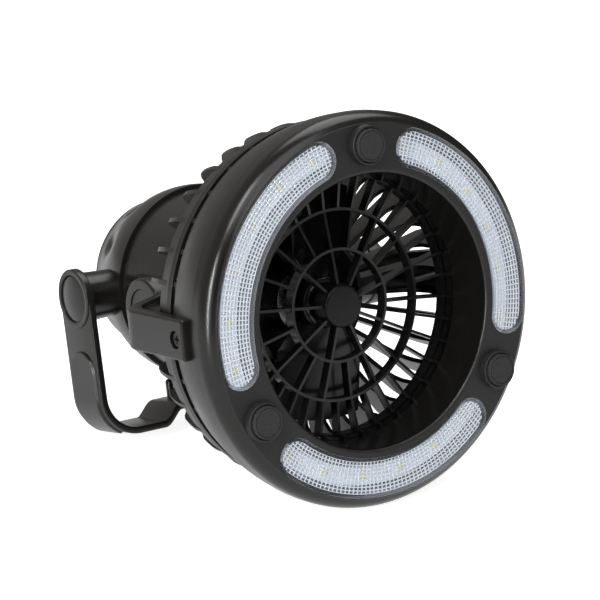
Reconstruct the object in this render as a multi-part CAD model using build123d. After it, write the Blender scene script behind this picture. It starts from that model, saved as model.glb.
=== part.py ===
from build123d import *
import math
import os

# Portable camping fan: a ring light round a ducted fan, tilting on a battery drum that stands
# on its bail handle.  Built on the fan axis (Y, front towards -Y), then set down on the table.

# Head
RING_RADIUS = 90.0
CROWN_TUBE = 12.3
CROWN_DEPTH = -18.9
DUCT_RADIUS = 62.8
SKIN = 2.4
SEAM_DEPTH = -12.0
SHELL_LIP = 0.5
SHELL_REAR = 5.2
SHELL_REAR_RADIUS = 86.2
WINDOW_FRONT = -4.0
WINDOW_REAR = 0.0

# Light windows
LENS_INNER = 66.5
LENS_OUTER = 84.0
LENS_ARC = 78.0
LENS_PROUD = 0.8
LENS_WALL = 1.6
LENS_FLANGE = 1.2
LAMP_ANGLES = (30, 150, 270)
BOARD_FRONT = -24.2
BOARD_THICK = 1.2
CHIP = (2.8, 0.8, 3.4)
CHIP_PAIRS = 6
CHIP_RADII = (72.5, 79.5)

# Feet
FOOT_ANGLES = (90, 210, 330)
FOOT_CIRCLE = 75.2
FOOT_BASE = 9.4
FOOT_TOP = 7.9
FOOT_FACE = -33.0
FOOT_POCKET = 1.6
PAD_RADIUS = 6.3
PAD_PROUD = 0.3

# Guard
GUARD_RINGS = ((26.0, 0.0), (44.2, 1.5), (60.4, 0.0))
GUARD_DEPTH = 5.6
GUARD_RIB = 1.3
HUB_RADIUS = 10.0
HUB_FACE = -3.1
HUB_REAR = 6.5
SPOKE_START = 95

# Cage
FIN_COUNT = 36
FIN_START = 5
FIN_THICK = 1.8
HOOP_FRONT = 8.5
HOOP_REAR = 17.0
HOOP_RADIUS = 86.0
HOOP_WALL = 1.8
CAN_RADIUS = 32.0
CAN_FRONT = 27.0
CAN_REAR = 44.0
LUG_THICK = 2.4

# Fan drive
MOTOR_RADIUS = 16.0
MOTOR_FRONT = 27.6
MOTOR_REAR = 41.6
SHAFT_RADIUS = 1.0
IMPELLER_FRONT = 10.5
IMPELLER_REAR = 24.5
IMPELLER_HUB = 12.0
IMPELLER_TIP = 57.5
BLADE_COUNT = 4
BLADE_START = 15
BLADE_THICK = 1.8

# Tilt joint
TILT_AXIS = 66.0
EYE_RADIUS = 16.3
EYE_OUTER = 66.0
EYE_INNER = 57.5
ARM_OUTER = 93.0
ARM_INNER = 86.3
ARM_FRONT = -13.0
ARM_LOW = -8.5
ARM_HIGH = 10.0
PIVOT_PIN = 3.0
PIVOT_HEAD = 6.0
EYE_CAP_RADIUS = 11.2
SIDE_SCREW_DEPTH = -7.0

# Battery drum
DRUM_RADIUS = 46.5
DRUM_FRONT = 77.0
DRUM_REAR = 117.4
CELL_RADIUS = 16.4
CELL_LENGTH = 61.5
CELL_CIRCLE = 23.9
CELL_FRONT = 81.6
CONTACT_THICK = 1.2
STRIP_THICK = 0.5
BUTTON_ANGLE = 45
BUTTON_DEPTHS = (89.5, 103.0)
BUTTON_RADIUS = 4.5
BUTTON_TRAVEL = 1.2

# Rear cap
CAP_FRONT = 118.0
CAP_LENGTH = 41.2
CAP_BACK_RADIUS = 38.05
CAP_ROLL = 10.3
CAP_WALL = 2.4
COLLAR_FRONT = 110.5
DIMPLE_COUNT = 12
DIMPLE_DEPTH = 145.0

# Bail handle
SWING_AXIS = 131.0
BAIL_OUTER = 65.0
BAIL_WALL = 3.4
BAIL_WIDTH = 27.0
BAIL_CORNER = 20.0
BAIL_EYE = 13.8
BAIL_LEAN = 4.9
BOSS_INNER = 10.3
BOSS_OUTER = 11.5
DISH_RADIUS = 10.7
GRIP_PROUD = 0.8
SADDLE_HEIGHT = 8.0
SADDLE_HALF = 34.0
SADDLE_WALL = 3.4
LUG_STATION = 30.0
LUG_RADIUS = 2.2
LUG_HEIGHT = 12.0

# How it stands
REST_TILT = 7.2

# Fits
RUNNING = 0.05
PLAY = 0.3
FACE_PLAY = 0.25


def around(shape, angle):
    """Turn a piece drawn on +X about the fan axis, counted from +X towards +Z."""
    return Rot(0, -angle, 0) * shape


def turned(points):
    """Solid of revolution about the fan axis from (radius, y) corners."""
    return revolve(make_face(Polyline(*points, close=True)), Axis.Y)


def plate(points, thick):
    """Radial plate on the +X side from (radius, y) corners, centred on the plane Z = 0."""
    return extrude(make_face(Polyline(*points, close=True)), thick / 2, both=True)


def tube(outer, inner, front, rear):
    """Ring about the fan axis between two depths."""
    return turned([(inner, front), (outer, front), (outer, rear), (inner, rear)])


def rod_y(radius, front, rear, x=0.0, z=0.0):
    """Round bar along the fan axis direction between two depths."""
    middle = (front + rear) / 2
    return Pos(x, middle, z) * Rot(90, 0, 0) * Cylinder(radius, rear - front)


def rod_x(radius, start, end, y, z=0.0):
    """Round bar along X between two stations."""
    return Pos((start + end) / 2, y, z) * Rot(0, 90, 0) * Cylinder(radius, abs(end - start))


def cone_x(start_radius, end_radius, start, end, y):
    """Round bar along +X whose radius changes from start to end."""
    turned_bar = Cone(start_radius, end_radius, end - start)
    return Pos((start + end) / 2, y, 0) * Rot(0, 90, 0) * turned_bar


def mirrored(shape):
    """The same piece on the other side of the plane X = 0."""
    return mirror(shape, Plane.YZ)


def arc_window(inner, outer, sweep, front, rear):
    """Prism along Y over a curved slot with round ends, centred on +X."""
    middle = (inner + outer) / 2
    half = (outer - inner) / 2
    half_turn = sweep / 2 - math.degrees(half / middle)
    low = math.radians(half_turn)
    slot = Face.make_rect(1, 1)
    outer_end = (outer * math.cos(low), outer * math.sin(low))
    inner_end = (inner * math.cos(low), inner * math.sin(low))
    reach = (
        middle * math.cos(low) - half * math.sin(low),
        middle * math.sin(low) + half * math.cos(low),
    )
    edges = [
        ThreePointArc((outer_end[0], -outer_end[1]), (outer, 0), outer_end),
        ThreePointArc(outer_end, reach, inner_end),
        ThreePointArc(inner_end, (inner, 0), (inner_end[0], -inner_end[1])),
        ThreePointArc(
            (inner_end[0], -inner_end[1]), (reach[0], -reach[1]), (outer_end[0], -outer_end[1])
        ),
    ]
    slot = make_face(edges)
    prism = extrude(slot, rear - front)
    return Pos(0, rear, 0) * Rot(90, 0, 0) * prism


def crossed(head_radius, depth):
    """Cross recess for a screw head, cut along -Z from Z = 0."""
    long_side = head_radius * 1.1
    short_side = head_radius * 0.26
    bars = Box(long_side, short_side, 2 * depth) + Box(short_side, long_side, 2 * depth)
    return bars


def pan_screw(shank, length, head, head_height):
    """Screw pointing along -Z with the underside of its head at Z = 0."""
    body = Pos(0, 0, -length / 2) * Cylinder(shank, length)
    top = Pos(0, 0, head_height / 2) * Cylinder(head, head_height)
    return body + top - Pos(0, 0, head_height) * crossed(head, head_height * 0.6)


CROWN_RADIUS = RING_RADIUS - CROWN_TUBE
CROWN_FACE = CROWN_DEPTH - CROWN_TUBE


def crown_point(tube_radius, angle):
    """Point (radius, y) on the rolled edge of the ring; 0 degrees faces outward, -90 forward."""
    turn = math.radians(angle)
    return (
        CROWN_RADIUS + tube_radius * math.cos(turn),
        CROWN_DEPTH + tube_radius * math.sin(turn),
    )


def crown_arc(tube_radius, start, end):
    """Arc of the rolled edge between two angles."""
    return ThreePointArc(
        crown_point(tube_radius, start),
        crown_point(tube_radius, (start + end) / 2),
        crown_point(tube_radius, end),
    )


nodes = {}

# Front bezel: rolled ring, flat face and the front of the duct in one moulding.
seam_angle = math.degrees(math.asin((SEAM_DEPTH - CROWN_DEPTH) / CROWN_TUBE))
inner_tube = CROWN_TUBE - SKIN
lip = 2.2
bezel_edges = [
    crown_arc(CROWN_TUBE, seam_angle, -90),
    Line((CROWN_RADIUS, CROWN_FACE), (DUCT_RADIUS + lip, CROWN_FACE)),
    ThreePointArc(
        (DUCT_RADIUS + lip, CROWN_FACE),
        (DUCT_RADIUS + lip * 0.293, CROWN_FACE + lip * 0.293),
        (DUCT_RADIUS, CROWN_FACE + lip),
    ),
    Line((DUCT_RADIUS, CROWN_FACE + lip), (DUCT_RADIUS, WINDOW_FRONT)),
    Line((DUCT_RADIUS, WINDOW_FRONT), (DUCT_RADIUS + SKIN, WINDOW_FRONT)),
    Line((DUCT_RADIUS + SKIN, WINDOW_FRONT), (DUCT_RADIUS + SKIN, CROWN_FACE + SKIN)),
    Line((DUCT_RADIUS + SKIN, CROWN_FACE + SKIN), (CROWN_RADIUS, CROWN_FACE + SKIN)),
    crown_arc(inner_tube, -90, seam_angle),
    Line(crown_point(inner_tube, seam_angle), crown_point(CROWN_TUBE, seam_angle)),
]
bezel = revolve(make_face(bezel_edges), Axis.Y)
for angle in LAMP_ANGLES:
    opening = arc_window(
        LENS_INNER - PLAY, LENS_OUTER + PLAY, LENS_ARC + 0.5, CROWN_FACE - 5, CROWN_DEPTH
    )
    bezel -= around(opening, angle)
POST_REAR = SHELL_REAR - SKIN
for angle in FOOT_ANGLES:
    rise = FOOT_FACE - CROWN_FACE - 0.4
    foot = Pos(FOOT_CIRCLE, CROWN_FACE + 0.4, 0) * Rot(90, 0, 0) * Pos(0, 0, -rise / 2) * Cone(
        FOOT_BASE, FOOT_TOP, -rise
    )
    post = rod_y(4.0, CROWN_FACE + 1, POST_REAR, FOOT_CIRCLE)
    bezel += around(foot + post, angle)
    pocket = rod_y(PAD_RADIUS + PLAY, FOOT_FACE - 1, FOOT_FACE + FOOT_POCKET, FOOT_CIRCLE)
    screw_hole = rod_y(1.5, POST_REAR - 14, POST_REAR + 1, FOOT_CIRCLE)
    bezel -= around(pocket + screw_hole, angle)
nodes["front_bezel"] = bezel

# Rubber pads glued in the three feet.
pad_face = FOOT_FACE - PAD_PROUD
pads = [
    around(rod_y(PAD_RADIUS, pad_face, FOOT_FACE + FOOT_POCKET, FOOT_CIRCLE), angle)
    for angle in FOOT_ANGLES
]
nodes["foot_pads"] = Compound(children=pads)

# Ring rear shell: outer skin from the seam back, rear wall and the back of the duct.
seam_radius = crown_point(CROWN_TUBE, seam_angle)[0] + SHELL_LIP
shell_front = SEAM_DEPTH
shell_edges = [
    ThreePointArc(
        (seam_radius, shell_front), (seam_radius - 0.7, -3.0), (SHELL_REAR_RADIUS, SHELL_REAR)
    ),
    Line((SHELL_REAR_RADIUS, SHELL_REAR), (DUCT_RADIUS, SHELL_REAR)),
    Line((DUCT_RADIUS, SHELL_REAR), (DUCT_RADIUS, WINDOW_REAR)),
    Line((DUCT_RADIUS, WINDOW_REAR), (DUCT_RADIUS + SKIN, WINDOW_REAR)),
    Line((DUCT_RADIUS + SKIN, WINDOW_REAR), (DUCT_RADIUS + SKIN, POST_REAR)),
    Line((DUCT_RADIUS + SKIN, POST_REAR), (SHELL_REAR_RADIUS - SKIN, POST_REAR)),
    Line((SHELL_REAR_RADIUS - SKIN, POST_REAR), (seam_radius - SKIN, shell_front)),
    Line((seam_radius - SKIN, shell_front), (seam_radius, shell_front)),
]
rear_shell = revolve(make_face(shell_edges), Axis.Y)
board_rear = BOARD_FRONT + BOARD_THICK
for angle in LAMP_ANGLES:
    for offset in (-24, 24):
        post = rod_y(2.0, board_rear, POST_REAR + 0.5, FOOT_CIRCLE)
        rear_shell += around(post, angle + offset)
for angle in FOOT_ANGLES:
    rear_shell -= around(rod_y(1.8, POST_REAR - 1, SHELL_REAR + 1, FOOT_CIRCLE), angle)
land_low = ARM_LOW - PLAY
land_high = ARM_HIGH + PLAY
land_middle = (land_low + land_high) / 2
land_depth = (SEAM_DEPTH + SHELL_REAR) / 2
land_block = Pos(ARM_INNER - 3.0, land_depth, land_middle) * Box(
    6.0, SHELL_REAR - SEAM_DEPTH, land_high - land_low + 4
)
land_cut = Pos(ARM_INNER + 5.0, ARM_FRONT - PLAY + 30, land_middle) * Box(
    10.0, 60, land_high - land_low
)
side_screw_z = land_middle
land_screw = rod_x(1.5, ARM_INNER - 8, ARM_INNER + 1, SIDE_SCREW_DEPTH, side_screw_z)
ring_core = tube(seam_radius, DUCT_RADIUS + SKIN + 1, SEAM_DEPTH, SHELL_REAR)
for side in (lambda piece: piece, mirrored):
    rear_shell += side(land_block & ring_core)
    rear_shell -= side(land_cut + land_screw)
nodes["front_bezel"] = nodes["front_bezel"] - land_cut - mirrored(land_cut)
nodes["ring_rear_shell"] = rear_shell

# Lenses: clear arcs that stand just proud of the crown, held by a flange from behind.
lens_tube = CROWN_TUBE + LENS_PROUD
lens_face = CROWN_FACE - LENS_PROUD
lens_edges = [
    crown_arc(lens_tube, -90, -30),
    Line(crown_point(lens_tube, -30), crown_point(lens_tube - LENS_WALL, -30)),
    crown_arc(lens_tube - LENS_WALL, -30, -90),
    Line((CROWN_RADIUS, lens_face + LENS_WALL), (LENS_INNER - 3, lens_face + LENS_WALL)),
    Line((LENS_INNER - 3, lens_face + LENS_WALL), (LENS_INNER - 3, lens_face)),
    Line((LENS_INNER - 3, lens_face), (CROWN_RADIUS, lens_face)),
]
lens_skin = revolve(make_face(lens_edges), Axis.Y)
lens_solid_edges = lens_edges[:1] + [
    Line(crown_point(lens_tube, -30), (crown_point(lens_tube, -30)[0], BOARD_FRONT)),
    Line((crown_point(lens_tube, -30)[0], BOARD_FRONT), (LENS_INNER - 3, BOARD_FRONT)),
    Line((LENS_INNER - 3, BOARD_FRONT), (LENS_INNER - 3, lens_face)),
    Line((LENS_INNER - 3, lens_face), (CROWN_RADIUS, lens_face)),
]
lens_solid = revolve(make_face(lens_solid_edges), Axis.Y)
window = arc_window(LENS_INNER, LENS_OUTER, LENS_ARC, -60, 0)
window_bore = arc_window(
    LENS_INNER + LENS_WALL, LENS_OUTER - LENS_WALL, LENS_ARC - 2.4, -60, 0
)
lens = (lens_skin & window) + (lens_solid & (window - window_bore))
lamp_names = ("right", "left", "bottom")
for name, angle in zip(lamp_names, LAMP_ANGLES):
    nodes["lens_" + name] = around(lens, angle)

# Light boards: white arcs behind each lens, resting on the rear shell's posts.
board = arc_window(LENS_INNER - 0.6, LENS_OUTER + 0.6, LENS_ARC + 1.6, BOARD_FRONT, board_rear)
chips = []
chip_step = (LENS_ARC - 18) / (CHIP_PAIRS - 1)
for name, angle in zip(lamp_names, LAMP_ANGLES):
    nodes["light_board_" + name] = around(board, angle)
    for index in range(CHIP_PAIRS):
        turn = angle + (index - (CHIP_PAIRS - 1) / 2) * chip_step
        for radius in CHIP_RADII:
            chip = Pos(radius, BOARD_FRONT - CHIP[1] / 2, 0) * Box(*CHIP)
            chips.append(around(chip, turn))
nodes["light_chips"] = Compound(children=chips)

# Front guard: hub, three rings and spokes that double in number outward; the 36 outer ones
# run on through the gap in the duct and are clamped between bezel and rear shell.
guard = tube(HUB_RADIUS, 3.5, GUARD_RINGS[0][1] - 1.2, HUB_REAR)
for radius, front in GUARD_RINGS:
    guard += tube(radius + GUARD_RIB / 2, radius - GUARD_RIB / 2, front, front + GUARD_DEPTH)
stations = ((HUB_RADIUS, -1.0),) + GUARD_RINGS
spoke_counts = (9, 18, 36)
for index, count in enumerate(spoke_counts):
    start, start_front = stations[index]
    end, end_front = stations[index + 1]
    corners = [
        (start - 0.4, start_front + 0.3),
        (end + 0.2, end_front + 0.3),
        (end + 0.2, end_front + GUARD_DEPTH - 0.3),
        (start - 0.4, start_front + GUARD_DEPTH - 0.3),
    ]
    spoke = plate(corners, GUARD_RIB)
    if index == 2:
        tab = (DUCT_RADIUS + end) / 2
        tab_end = DUCT_RADIUS + SKIN - PLAY
        spoke += Pos((end + tab_end) / 2, (WINDOW_FRONT + WINDOW_REAR) / 2, 0) * Box(
            tab_end - end, WINDOW_REAR - WINDOW_FRONT, GUARD_RIB
        )
        riser = [(end - 0.4, WINDOW_FRONT), (end + 0.6, WINDOW_FRONT), (end + 0.6, 1), (end - 0.4, 1)]
        spoke += plate(riser, GUARD_RIB)
    guard += [around(spoke, SPOKE_START + step * 360 / count) for step in range(count)]
nodes["front_guard"] = guard

# Hub cap: domed disc plugged into the guard's hub.
cap_rim = GUARD_RINGS[0][1] - 1.2
hub_edges = [
    Line((0, HUB_FACE), (HUB_RADIUS - 1.2, HUB_FACE + 0.25)),
    ThreePointArc(
        (HUB_RADIUS - 1.2, HUB_FACE + 0.25),
        (HUB_RADIUS - 0.3, HUB_FACE + 0.6),
        (HUB_RADIUS, cap_rim),
    ),
    Line((HUB_RADIUS, cap_rim), (3.45, cap_rim)),
    Line((3.45, cap_rim), (3.45, HUB_REAR - 1)),
    Line((3.45, HUB_REAR - 1), (0, HUB_REAR - 1)),
    Line((0, HUB_REAR - 1), (0, HUB_FACE)),
]
nodes["guard_hub_cap"] = revolve(make_face(hub_edges), Axis.Y)

# Rear cage: hoop, 36 bent fins that run from the ring round the back to the motor can.
fin_outline = [
    (85.3, SHELL_REAR),
    (85.3, HOOP_REAR),
    (84.0, 24.5),
    (81.3, 32.0),
    (79.8, 35.6),
    (77.6, 37.3),
    (60.0, 40.2),
    (CAN_RADIUS - 1, 42.6),
    (CAN_RADIUS - 1, 31.6),
    (52.0, 29.2),
    (60.0, 27.4),
    (63.6, 24.0),
    (65.2, 19.5),
    (65.2, SHELL_REAR),
]
cage = tube(HOOP_RADIUS, HOOP_RADIUS - HOOP_WALL, HOOP_FRONT, HOOP_REAR)
fin = plate(fin_outline, FIN_THICK)
cage += [around(fin, FIN_START + step * 360 / FIN_COUNT) for step in range(FIN_COUNT)]
can_wall = 2.0
can_points = [
    (CAN_RADIUS, CAN_FRONT),
    (CAN_RADIUS, CAN_REAR - 1.5),
    (CAN_RADIUS - 1.5, CAN_REAR),
    (0, CAN_REAR),
    (0, MOTOR_REAR),
    (MOTOR_RADIUS + PLAY, MOTOR_REAR),
    (MOTOR_RADIUS + PLAY, MOTOR_FRONT + 4),
    (MOTOR_RADIUS + PLAY + can_wall, MOTOR_FRONT + 4),
    (MOTOR_RADIUS + PLAY + can_wall, MOTOR_REAR),
    (CAN_RADIUS - can_wall, MOTOR_REAR),
    (CAN_RADIUS - can_wall, CAN_FRONT),
]
cage += turned(can_points)
for angle in FOOT_ANGLES:
    lug = Pos(FOOT_CIRCLE + 1, SHELL_REAR + LUG_THICK / 2, 0) * Box(15, LUG_THICK, 13.5)
    cage += around(lug, angle)
    cage -= around(rod_y(1.8, SHELL_REAR - 1, SHELL_REAR + LUG_THICK + 1, FOOT_CIRCLE), angle)
arm_gap = Pos(ARM_INNER + 5.0, HOOP_REAR, land_middle) * Box(10.0, 60, land_high - land_low)
cage -= arm_gap + mirrored(arm_gap)
nodes["rear_cage"] = cage

# Screws through the cage lugs into the bezel posts.
case_screw = Rot(-90, 0, 0) * pan_screw(1.45, 15.0, 2.9, 2.0)
case_screws = [
    around(Pos(FOOT_CIRCLE, SHELL_REAR + LUG_THICK, 0) * case_screw, angle)
    for angle in FOOT_ANGLES
]
nodes["case_screws"] = Compound(children=case_screws)

# Motor: flat can with a front bearing boss.
motor = rod_y(MOTOR_RADIUS, MOTOR_FRONT, MOTOR_REAR) + rod_y(3.0, MOTOR_FRONT - 1.6, MOTOR_FRONT)
motor -= rod_y(SHAFT_RADIUS + RUNNING, MOTOR_FRONT - 2, MOTOR_REAR - 2)
nodes["motor"] = motor
shaft_front = IMPELLER_FRONT + 2
nodes["motor_shaft"] = rod_y(SHAFT_RADIUS, shaft_front, MOTOR_REAR - 3)

# Impeller: four wide pitched blades on a cup-shaped hub, pressed on the motor shaft.
hub = turned(
    [
        (0, IMPELLER_FRONT),
        (IMPELLER_HUB - 2, IMPELLER_FRONT),
        (IMPELLER_HUB, IMPELLER_FRONT + 2),
        (IMPELLER_HUB, IMPELLER_REAR),
        (IMPELLER_HUB - 1.8, IMPELLER_REAR),
        (IMPELLER_HUB - 1.8, IMPELLER_FRONT + 2.4),
        (3.2, IMPELLER_FRONT + 2.4),
        (3.2, IMPELLER_REAR - 1),
        (0, IMPELLER_REAR - 1),
    ]
)
blade_middle = (IMPELLER_FRONT + IMPELLER_REAR) / 2
blade_sections = ((IMPELLER_HUB - 1.5, 19.0, 38.0), (33.0, 40.0, 17.0), (62.0, 58.0, 11.5))
sections = []
for radius, chord, pitch in blade_sections:
    base = Plane(origin=(radius, blade_middle, 0), x_dir=(0, 0, 1), z_dir=(1, 0, 0))
    sections.append(base * Rot(0, 0, pitch) * Rectangle(chord, BLADE_THICK))
blade = loft(sections) & tube(IMPELLER_TIP, IMPELLER_HUB - 1.0, 0, 40)
impeller = hub
impeller += [around(blade, BLADE_START + step * 360 / BLADE_COUNT) for step in range(BLADE_COUNT)]
impeller -= rod_y(SHAFT_RADIUS, shaft_front, IMPELLER_REAR)
nodes["impeller"] = impeller

# Side arms: bent plates from the ring back to a round eye on the tilt axis.
arm_plan = [
    (ARM_OUTER, ARM_FRONT),
    (ARM_OUTER, 36.5),
    (91.6, 39.0),
    (72.6, 51.6),
    (EYE_OUTER, 56.5),
    (EYE_OUTER, TILT_AXIS),
    (EYE_INNER, TILT_AXIS),
    (EYE_INNER, 52.5),
    (69.3, 44.9),
    (ARM_INNER - 1, 36.0),
    (ARM_INNER, 34.5),
    (ARM_INNER, ARM_FRONT),
]
arm_height = ARM_HIGH - ARM_LOW
arm = Pos(0, 0, ARM_LOW) * extrude(make_face(Polyline(*arm_plan, close=True)), arm_height)
arm += rod_x(EYE_RADIUS, EYE_INNER, EYE_OUTER, TILT_AXIS)
arm -= rod_x(PIVOT_PIN + RUNNING, EYE_INNER - 1, EYE_OUTER + 1, TILT_AXIS)
arm -= rod_x(EYE_CAP_RADIUS + PLAY, EYE_OUTER - 4.0, EYE_OUTER + 1, TILT_AXIS)
arm -= rod_x(1.8, ARM_INNER - 1, ARM_OUTER + 1, SIDE_SCREW_DEPTH, side_screw_z)
arm -= rod_x(4.0, ARM_OUTER - 3.2, ARM_OUTER + 1, SIDE_SCREW_DEPTH, side_screw_z)
nodes["side_arm_right"] = arm
nodes["side_arm_left"] = mirrored(arm)
side_screw = Pos(ARM_OUTER - 3.2, SIDE_SCREW_DEPTH, side_screw_z) * Rot(0, 90, 0) * pan_screw(
    1.45, 10.0, 3.3, 2.2
)
nodes["side_arm_screws"] = Compound(children=[side_screw, mirrored(side_screw)])

# Tilt pivots: shouldered screws through the arm eyes into the drum's ears, under snap caps.
PIN_REACH = 12.0
pivot = rod_x(PIVOT_PIN, EYE_INNER - PIN_REACH, EYE_OUTER - 4.0, TILT_AXIS)
pivot += rod_x(PIVOT_HEAD, EYE_OUTER - 4.0, EYE_OUTER - 2.2, TILT_AXIS)
nodes["tilt_pivots"] = Compound(children=[pivot, mirrored(pivot)])
eye_cap = rod_x(EYE_CAP_RADIUS, EYE_OUTER - 1.9, EYE_OUTER - 0.6, TILT_AXIS)
eye_cap += rod_x(EYE_CAP_RADIUS, EYE_OUTER - 4.0, EYE_OUTER - 1.9, TILT_AXIS) - rod_x(
    EYE_CAP_RADIUS - 1.6, EYE_OUTER - 5.0, EYE_OUTER - 1.9, TILT_AXIS
)
nodes["tilt_pivot_caps"] = Compound(children=[eye_cap, mirrored(eye_cap)])

# Battery drum: tub closed at the front, with an ear each side for the tilt pivots.
EAR_RADIUS = 15.6
ear_plan = [
    (38.0, TILT_AXIS),
    (EYE_INNER - FACE_PLAY, TILT_AXIS),
    (EYE_INNER - FACE_PLAY, 82.0),
    (47.5, 101.0),
    (38.0, 101.0),
]
ear_web = extrude(make_face(Polyline(*ear_plan, close=True)), 12.0, both=True)
ear = ear_web + rod_x(EAR_RADIUS, 41.0, EYE_INNER - FACE_PLAY, TILT_AXIS)
drum = turned(
    [
        (0, DRUM_FRONT),
        (DRUM_RADIUS - 4, DRUM_FRONT),
        (DRUM_RADIUS - 1.2, DRUM_FRONT + 1.2),
        (DRUM_RADIUS, DRUM_FRONT + 4),
        (DRUM_RADIUS, DRUM_REAR),
        (0, DRUM_REAR),
    ]
)
drum += ear
drum += mirrored(ear)
pad_plan = Pos(0, sum(BUTTON_DEPTHS) / 2, 0) * Rot(0, 90, 0) * extrude(
    SlotOverall(34, 17, rotation=90), DRUM_RADIUS + 1.4
)
drum += around(pad_plan, BUTTON_ANGLE)
CAVITY_RADIUS = DRUM_RADIUS - SKIN
CAVITY_FRONT = DRUM_FRONT + SKIN
drum -= rod_y(CAVITY_RADIUS, CAVITY_FRONT, DRUM_REAR + 1)
for y in BUTTON_DEPTHS:
    drum -= around(rod_x(BUTTON_RADIUS + 0.1, 30, DRUM_RADIUS + 5, y), BUTTON_ANGLE)
pin_hole = rod_x(PIVOT_PIN + RUNNING, 30, EYE_INNER + 1, TILT_AXIS)
drum -= pin_hole + mirrored(pin_hole)
nodes["drum_body"] = drum

# Push buttons: fan and light, each on its own switch behind the wall.
BUTTON_FACE = DRUM_RADIUS + 1.4 + 1.6
button_stem = CAVITY_RADIUS - 1.0
names = ("fan_button", "light_button")
switches = []
for name, y in zip(names, BUTTON_DEPTHS):
    button = rod_x(BUTTON_RADIUS, button_stem, BUTTON_FACE, y)
    nodes[name] = around(button, BUTTON_ANGLE)
    switch = Pos(button_stem - BUTTON_TRAVEL - 4.6, y, 0) * Box(8, 12, 12)
    switch += rod_x(2.0, button_stem - BUTTON_TRAVEL - 1, button_stem - BUTTON_TRAVEL - 0.1, y)
    switches.append(around(switch, BUTTON_ANGLE))
carrier_bar = Pos(button_stem - BUTTON_TRAVEL - 9.4, (CAVITY_FRONT + 113) / 2, 0) * Box(
    1.6, 113 - CAVITY_FRONT, 13
)
nodes["switches"] = Compound(children=switches)
nodes["switch_board"] = around(carrier_bar, BUTTON_ANGLE)

# Cells and their contacts.
FRONT_DISC = CAVITY_FRONT + CONTACT_THICK
CELL_REAR = CELL_FRONT + CELL_LENGTH
cell_body = rod_y(CELL_RADIUS, CELL_FRONT, CELL_REAR - 1.5, CELL_CIRCLE)
cell_nub = rod_y(4.75, CELL_REAR - 1.5, CELL_REAR, CELL_CIRCLE)
cells = [around(cell_body + cell_nub, step * 90) for step in range(4)]
nodes["cells"] = Compound(children=cells)
front_disc = tube(CAVITY_RADIUS - PLAY, 6.0, CAVITY_FRONT, FRONT_DISC)
board_gap = Pos(button_stem - BUTTON_TRAVEL - 9.4, FRONT_DISC, 0) * Box(2.4, 10, 14)
nodes["front_contact_disc"] = front_disc - around(board_gap, BUTTON_ANGLE)
front_strips = []
rear_strips = []
REAR_DISC = CELL_REAR + 1.0
for turn in (0, 180):
    for strips, face, tip in (
        (front_strips, FRONT_DISC, CELL_FRONT),
        (rear_strips, REAR_DISC, CELL_REAR),
    ):
        thick = STRIP_THICK if tip > face else -STRIP_THICK
        low, high = sorted((face, face + thick))
        strip = tube(CELL_CIRCLE + 4, CELL_CIRCLE - 4, low, high)
        strip &= Pos(0, face, 0) * Box(100, 4, 100, align=(Align.MIN, Align.CENTER, Align.MIN))
        bump_low, bump_high = sorted((face, tip))
        for cell_turn in (10, 80):
            strip += around(rod_y(3.0, bump_low, bump_high, CELL_CIRCLE), cell_turn)
        strips.append(around(strip, turn))
nodes["front_contacts"] = Compound(children=front_strips)
nodes["rear_contacts"] = Compound(children=rear_strips)
posts = [
    around(rod_y(3.0, REAR_DISC + CONTACT_THICK, CAP_FRONT + CAP_LENGTH, 30.0), 45 + step * 90)
    for step in range(4)
]
nodes["rear_contact_disc"] = rod_y(39.0, REAR_DISC, REAR_DISC + CONTACT_THICK)

# Rear cap: rounded cover that twists onto the drum, with finger dimples and handle bosses.
roll = []
inner_roll = []
ROLL_STEPS = 12
for step in range(ROLL_STEPS + 1):
    turn = math.pi / 2 * step / ROLL_STEPS
    radius = CAP_BACK_RADIUS + CAP_ROLL * max(math.cos(turn), 0) ** 2.93
    roll.append((radius, CAP_FRONT + CAP_LENGTH * math.sin(turn)))
    inner_roll.append((radius - CAP_WALL, CAP_FRONT + (CAP_LENGTH - CAP_WALL) * math.sin(turn)))
cap_edges = [
    Line((0, CAP_FRONT), roll[0]),
    Spline(*roll),
    Line(roll[-1], (0, roll[-1][1])),
    Line((0, roll[-1][1]), (0, CAP_FRONT)),
]
cap = revolve(make_face(cap_edges), Axis.Y)
BAIL_INNER = BAIL_OUTER - BAIL_WALL
BOSS_END = BAIL_INNER - FACE_PLAY
boss = cone_x(BOSS_INNER, BOSS_OUTER, 40.0, BOSS_END, SWING_AXIS)
cap += boss
cap += mirrored(boss)
cavity_edges = [
    Line((0, CAP_FRONT), inner_roll[0]),
    Spline(*inner_roll),
    Line(inner_roll[-1], (0, inner_roll[-1][1])),
    Line((0, inner_roll[-1][1]), (0, CAP_FRONT)),
]
cap -= revolve(make_face(cavity_edges), Axis.Y)
dimple = Pos(CAP_BACK_RADIUS + CAP_ROLL * 0.52 + 2.6, DIMPLE_DEPTH, 0) * scale(
    Sphere(1), by=(4.0, 9.0, 6.0)
)
for step in range(DIMPLE_COUNT):
    if step % 6:
        cap -= around(dimple, step * 360 / DIMPLE_COUNT)
cap += tube(CAVITY_RADIUS - PLAY, CAVITY_RADIUS - PLAY - 2.0, COLLAR_FRONT, CAP_FRONT + 4)
cap += tube(DRUM_RADIUS + 1.0, CAVITY_RADIUS - PLAY - 1.0, CAP_FRONT, CAP_FRONT + SKIN)
cap += [post & revolve(make_face(cap_edges), Axis.Y) for post in posts]
bail_hole = rod_x(2.0, 36, BAIL_OUTER, SWING_AXIS)
cap -= bail_hole + mirrored(bail_hole)
nodes["rear_cap"] = cap

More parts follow.
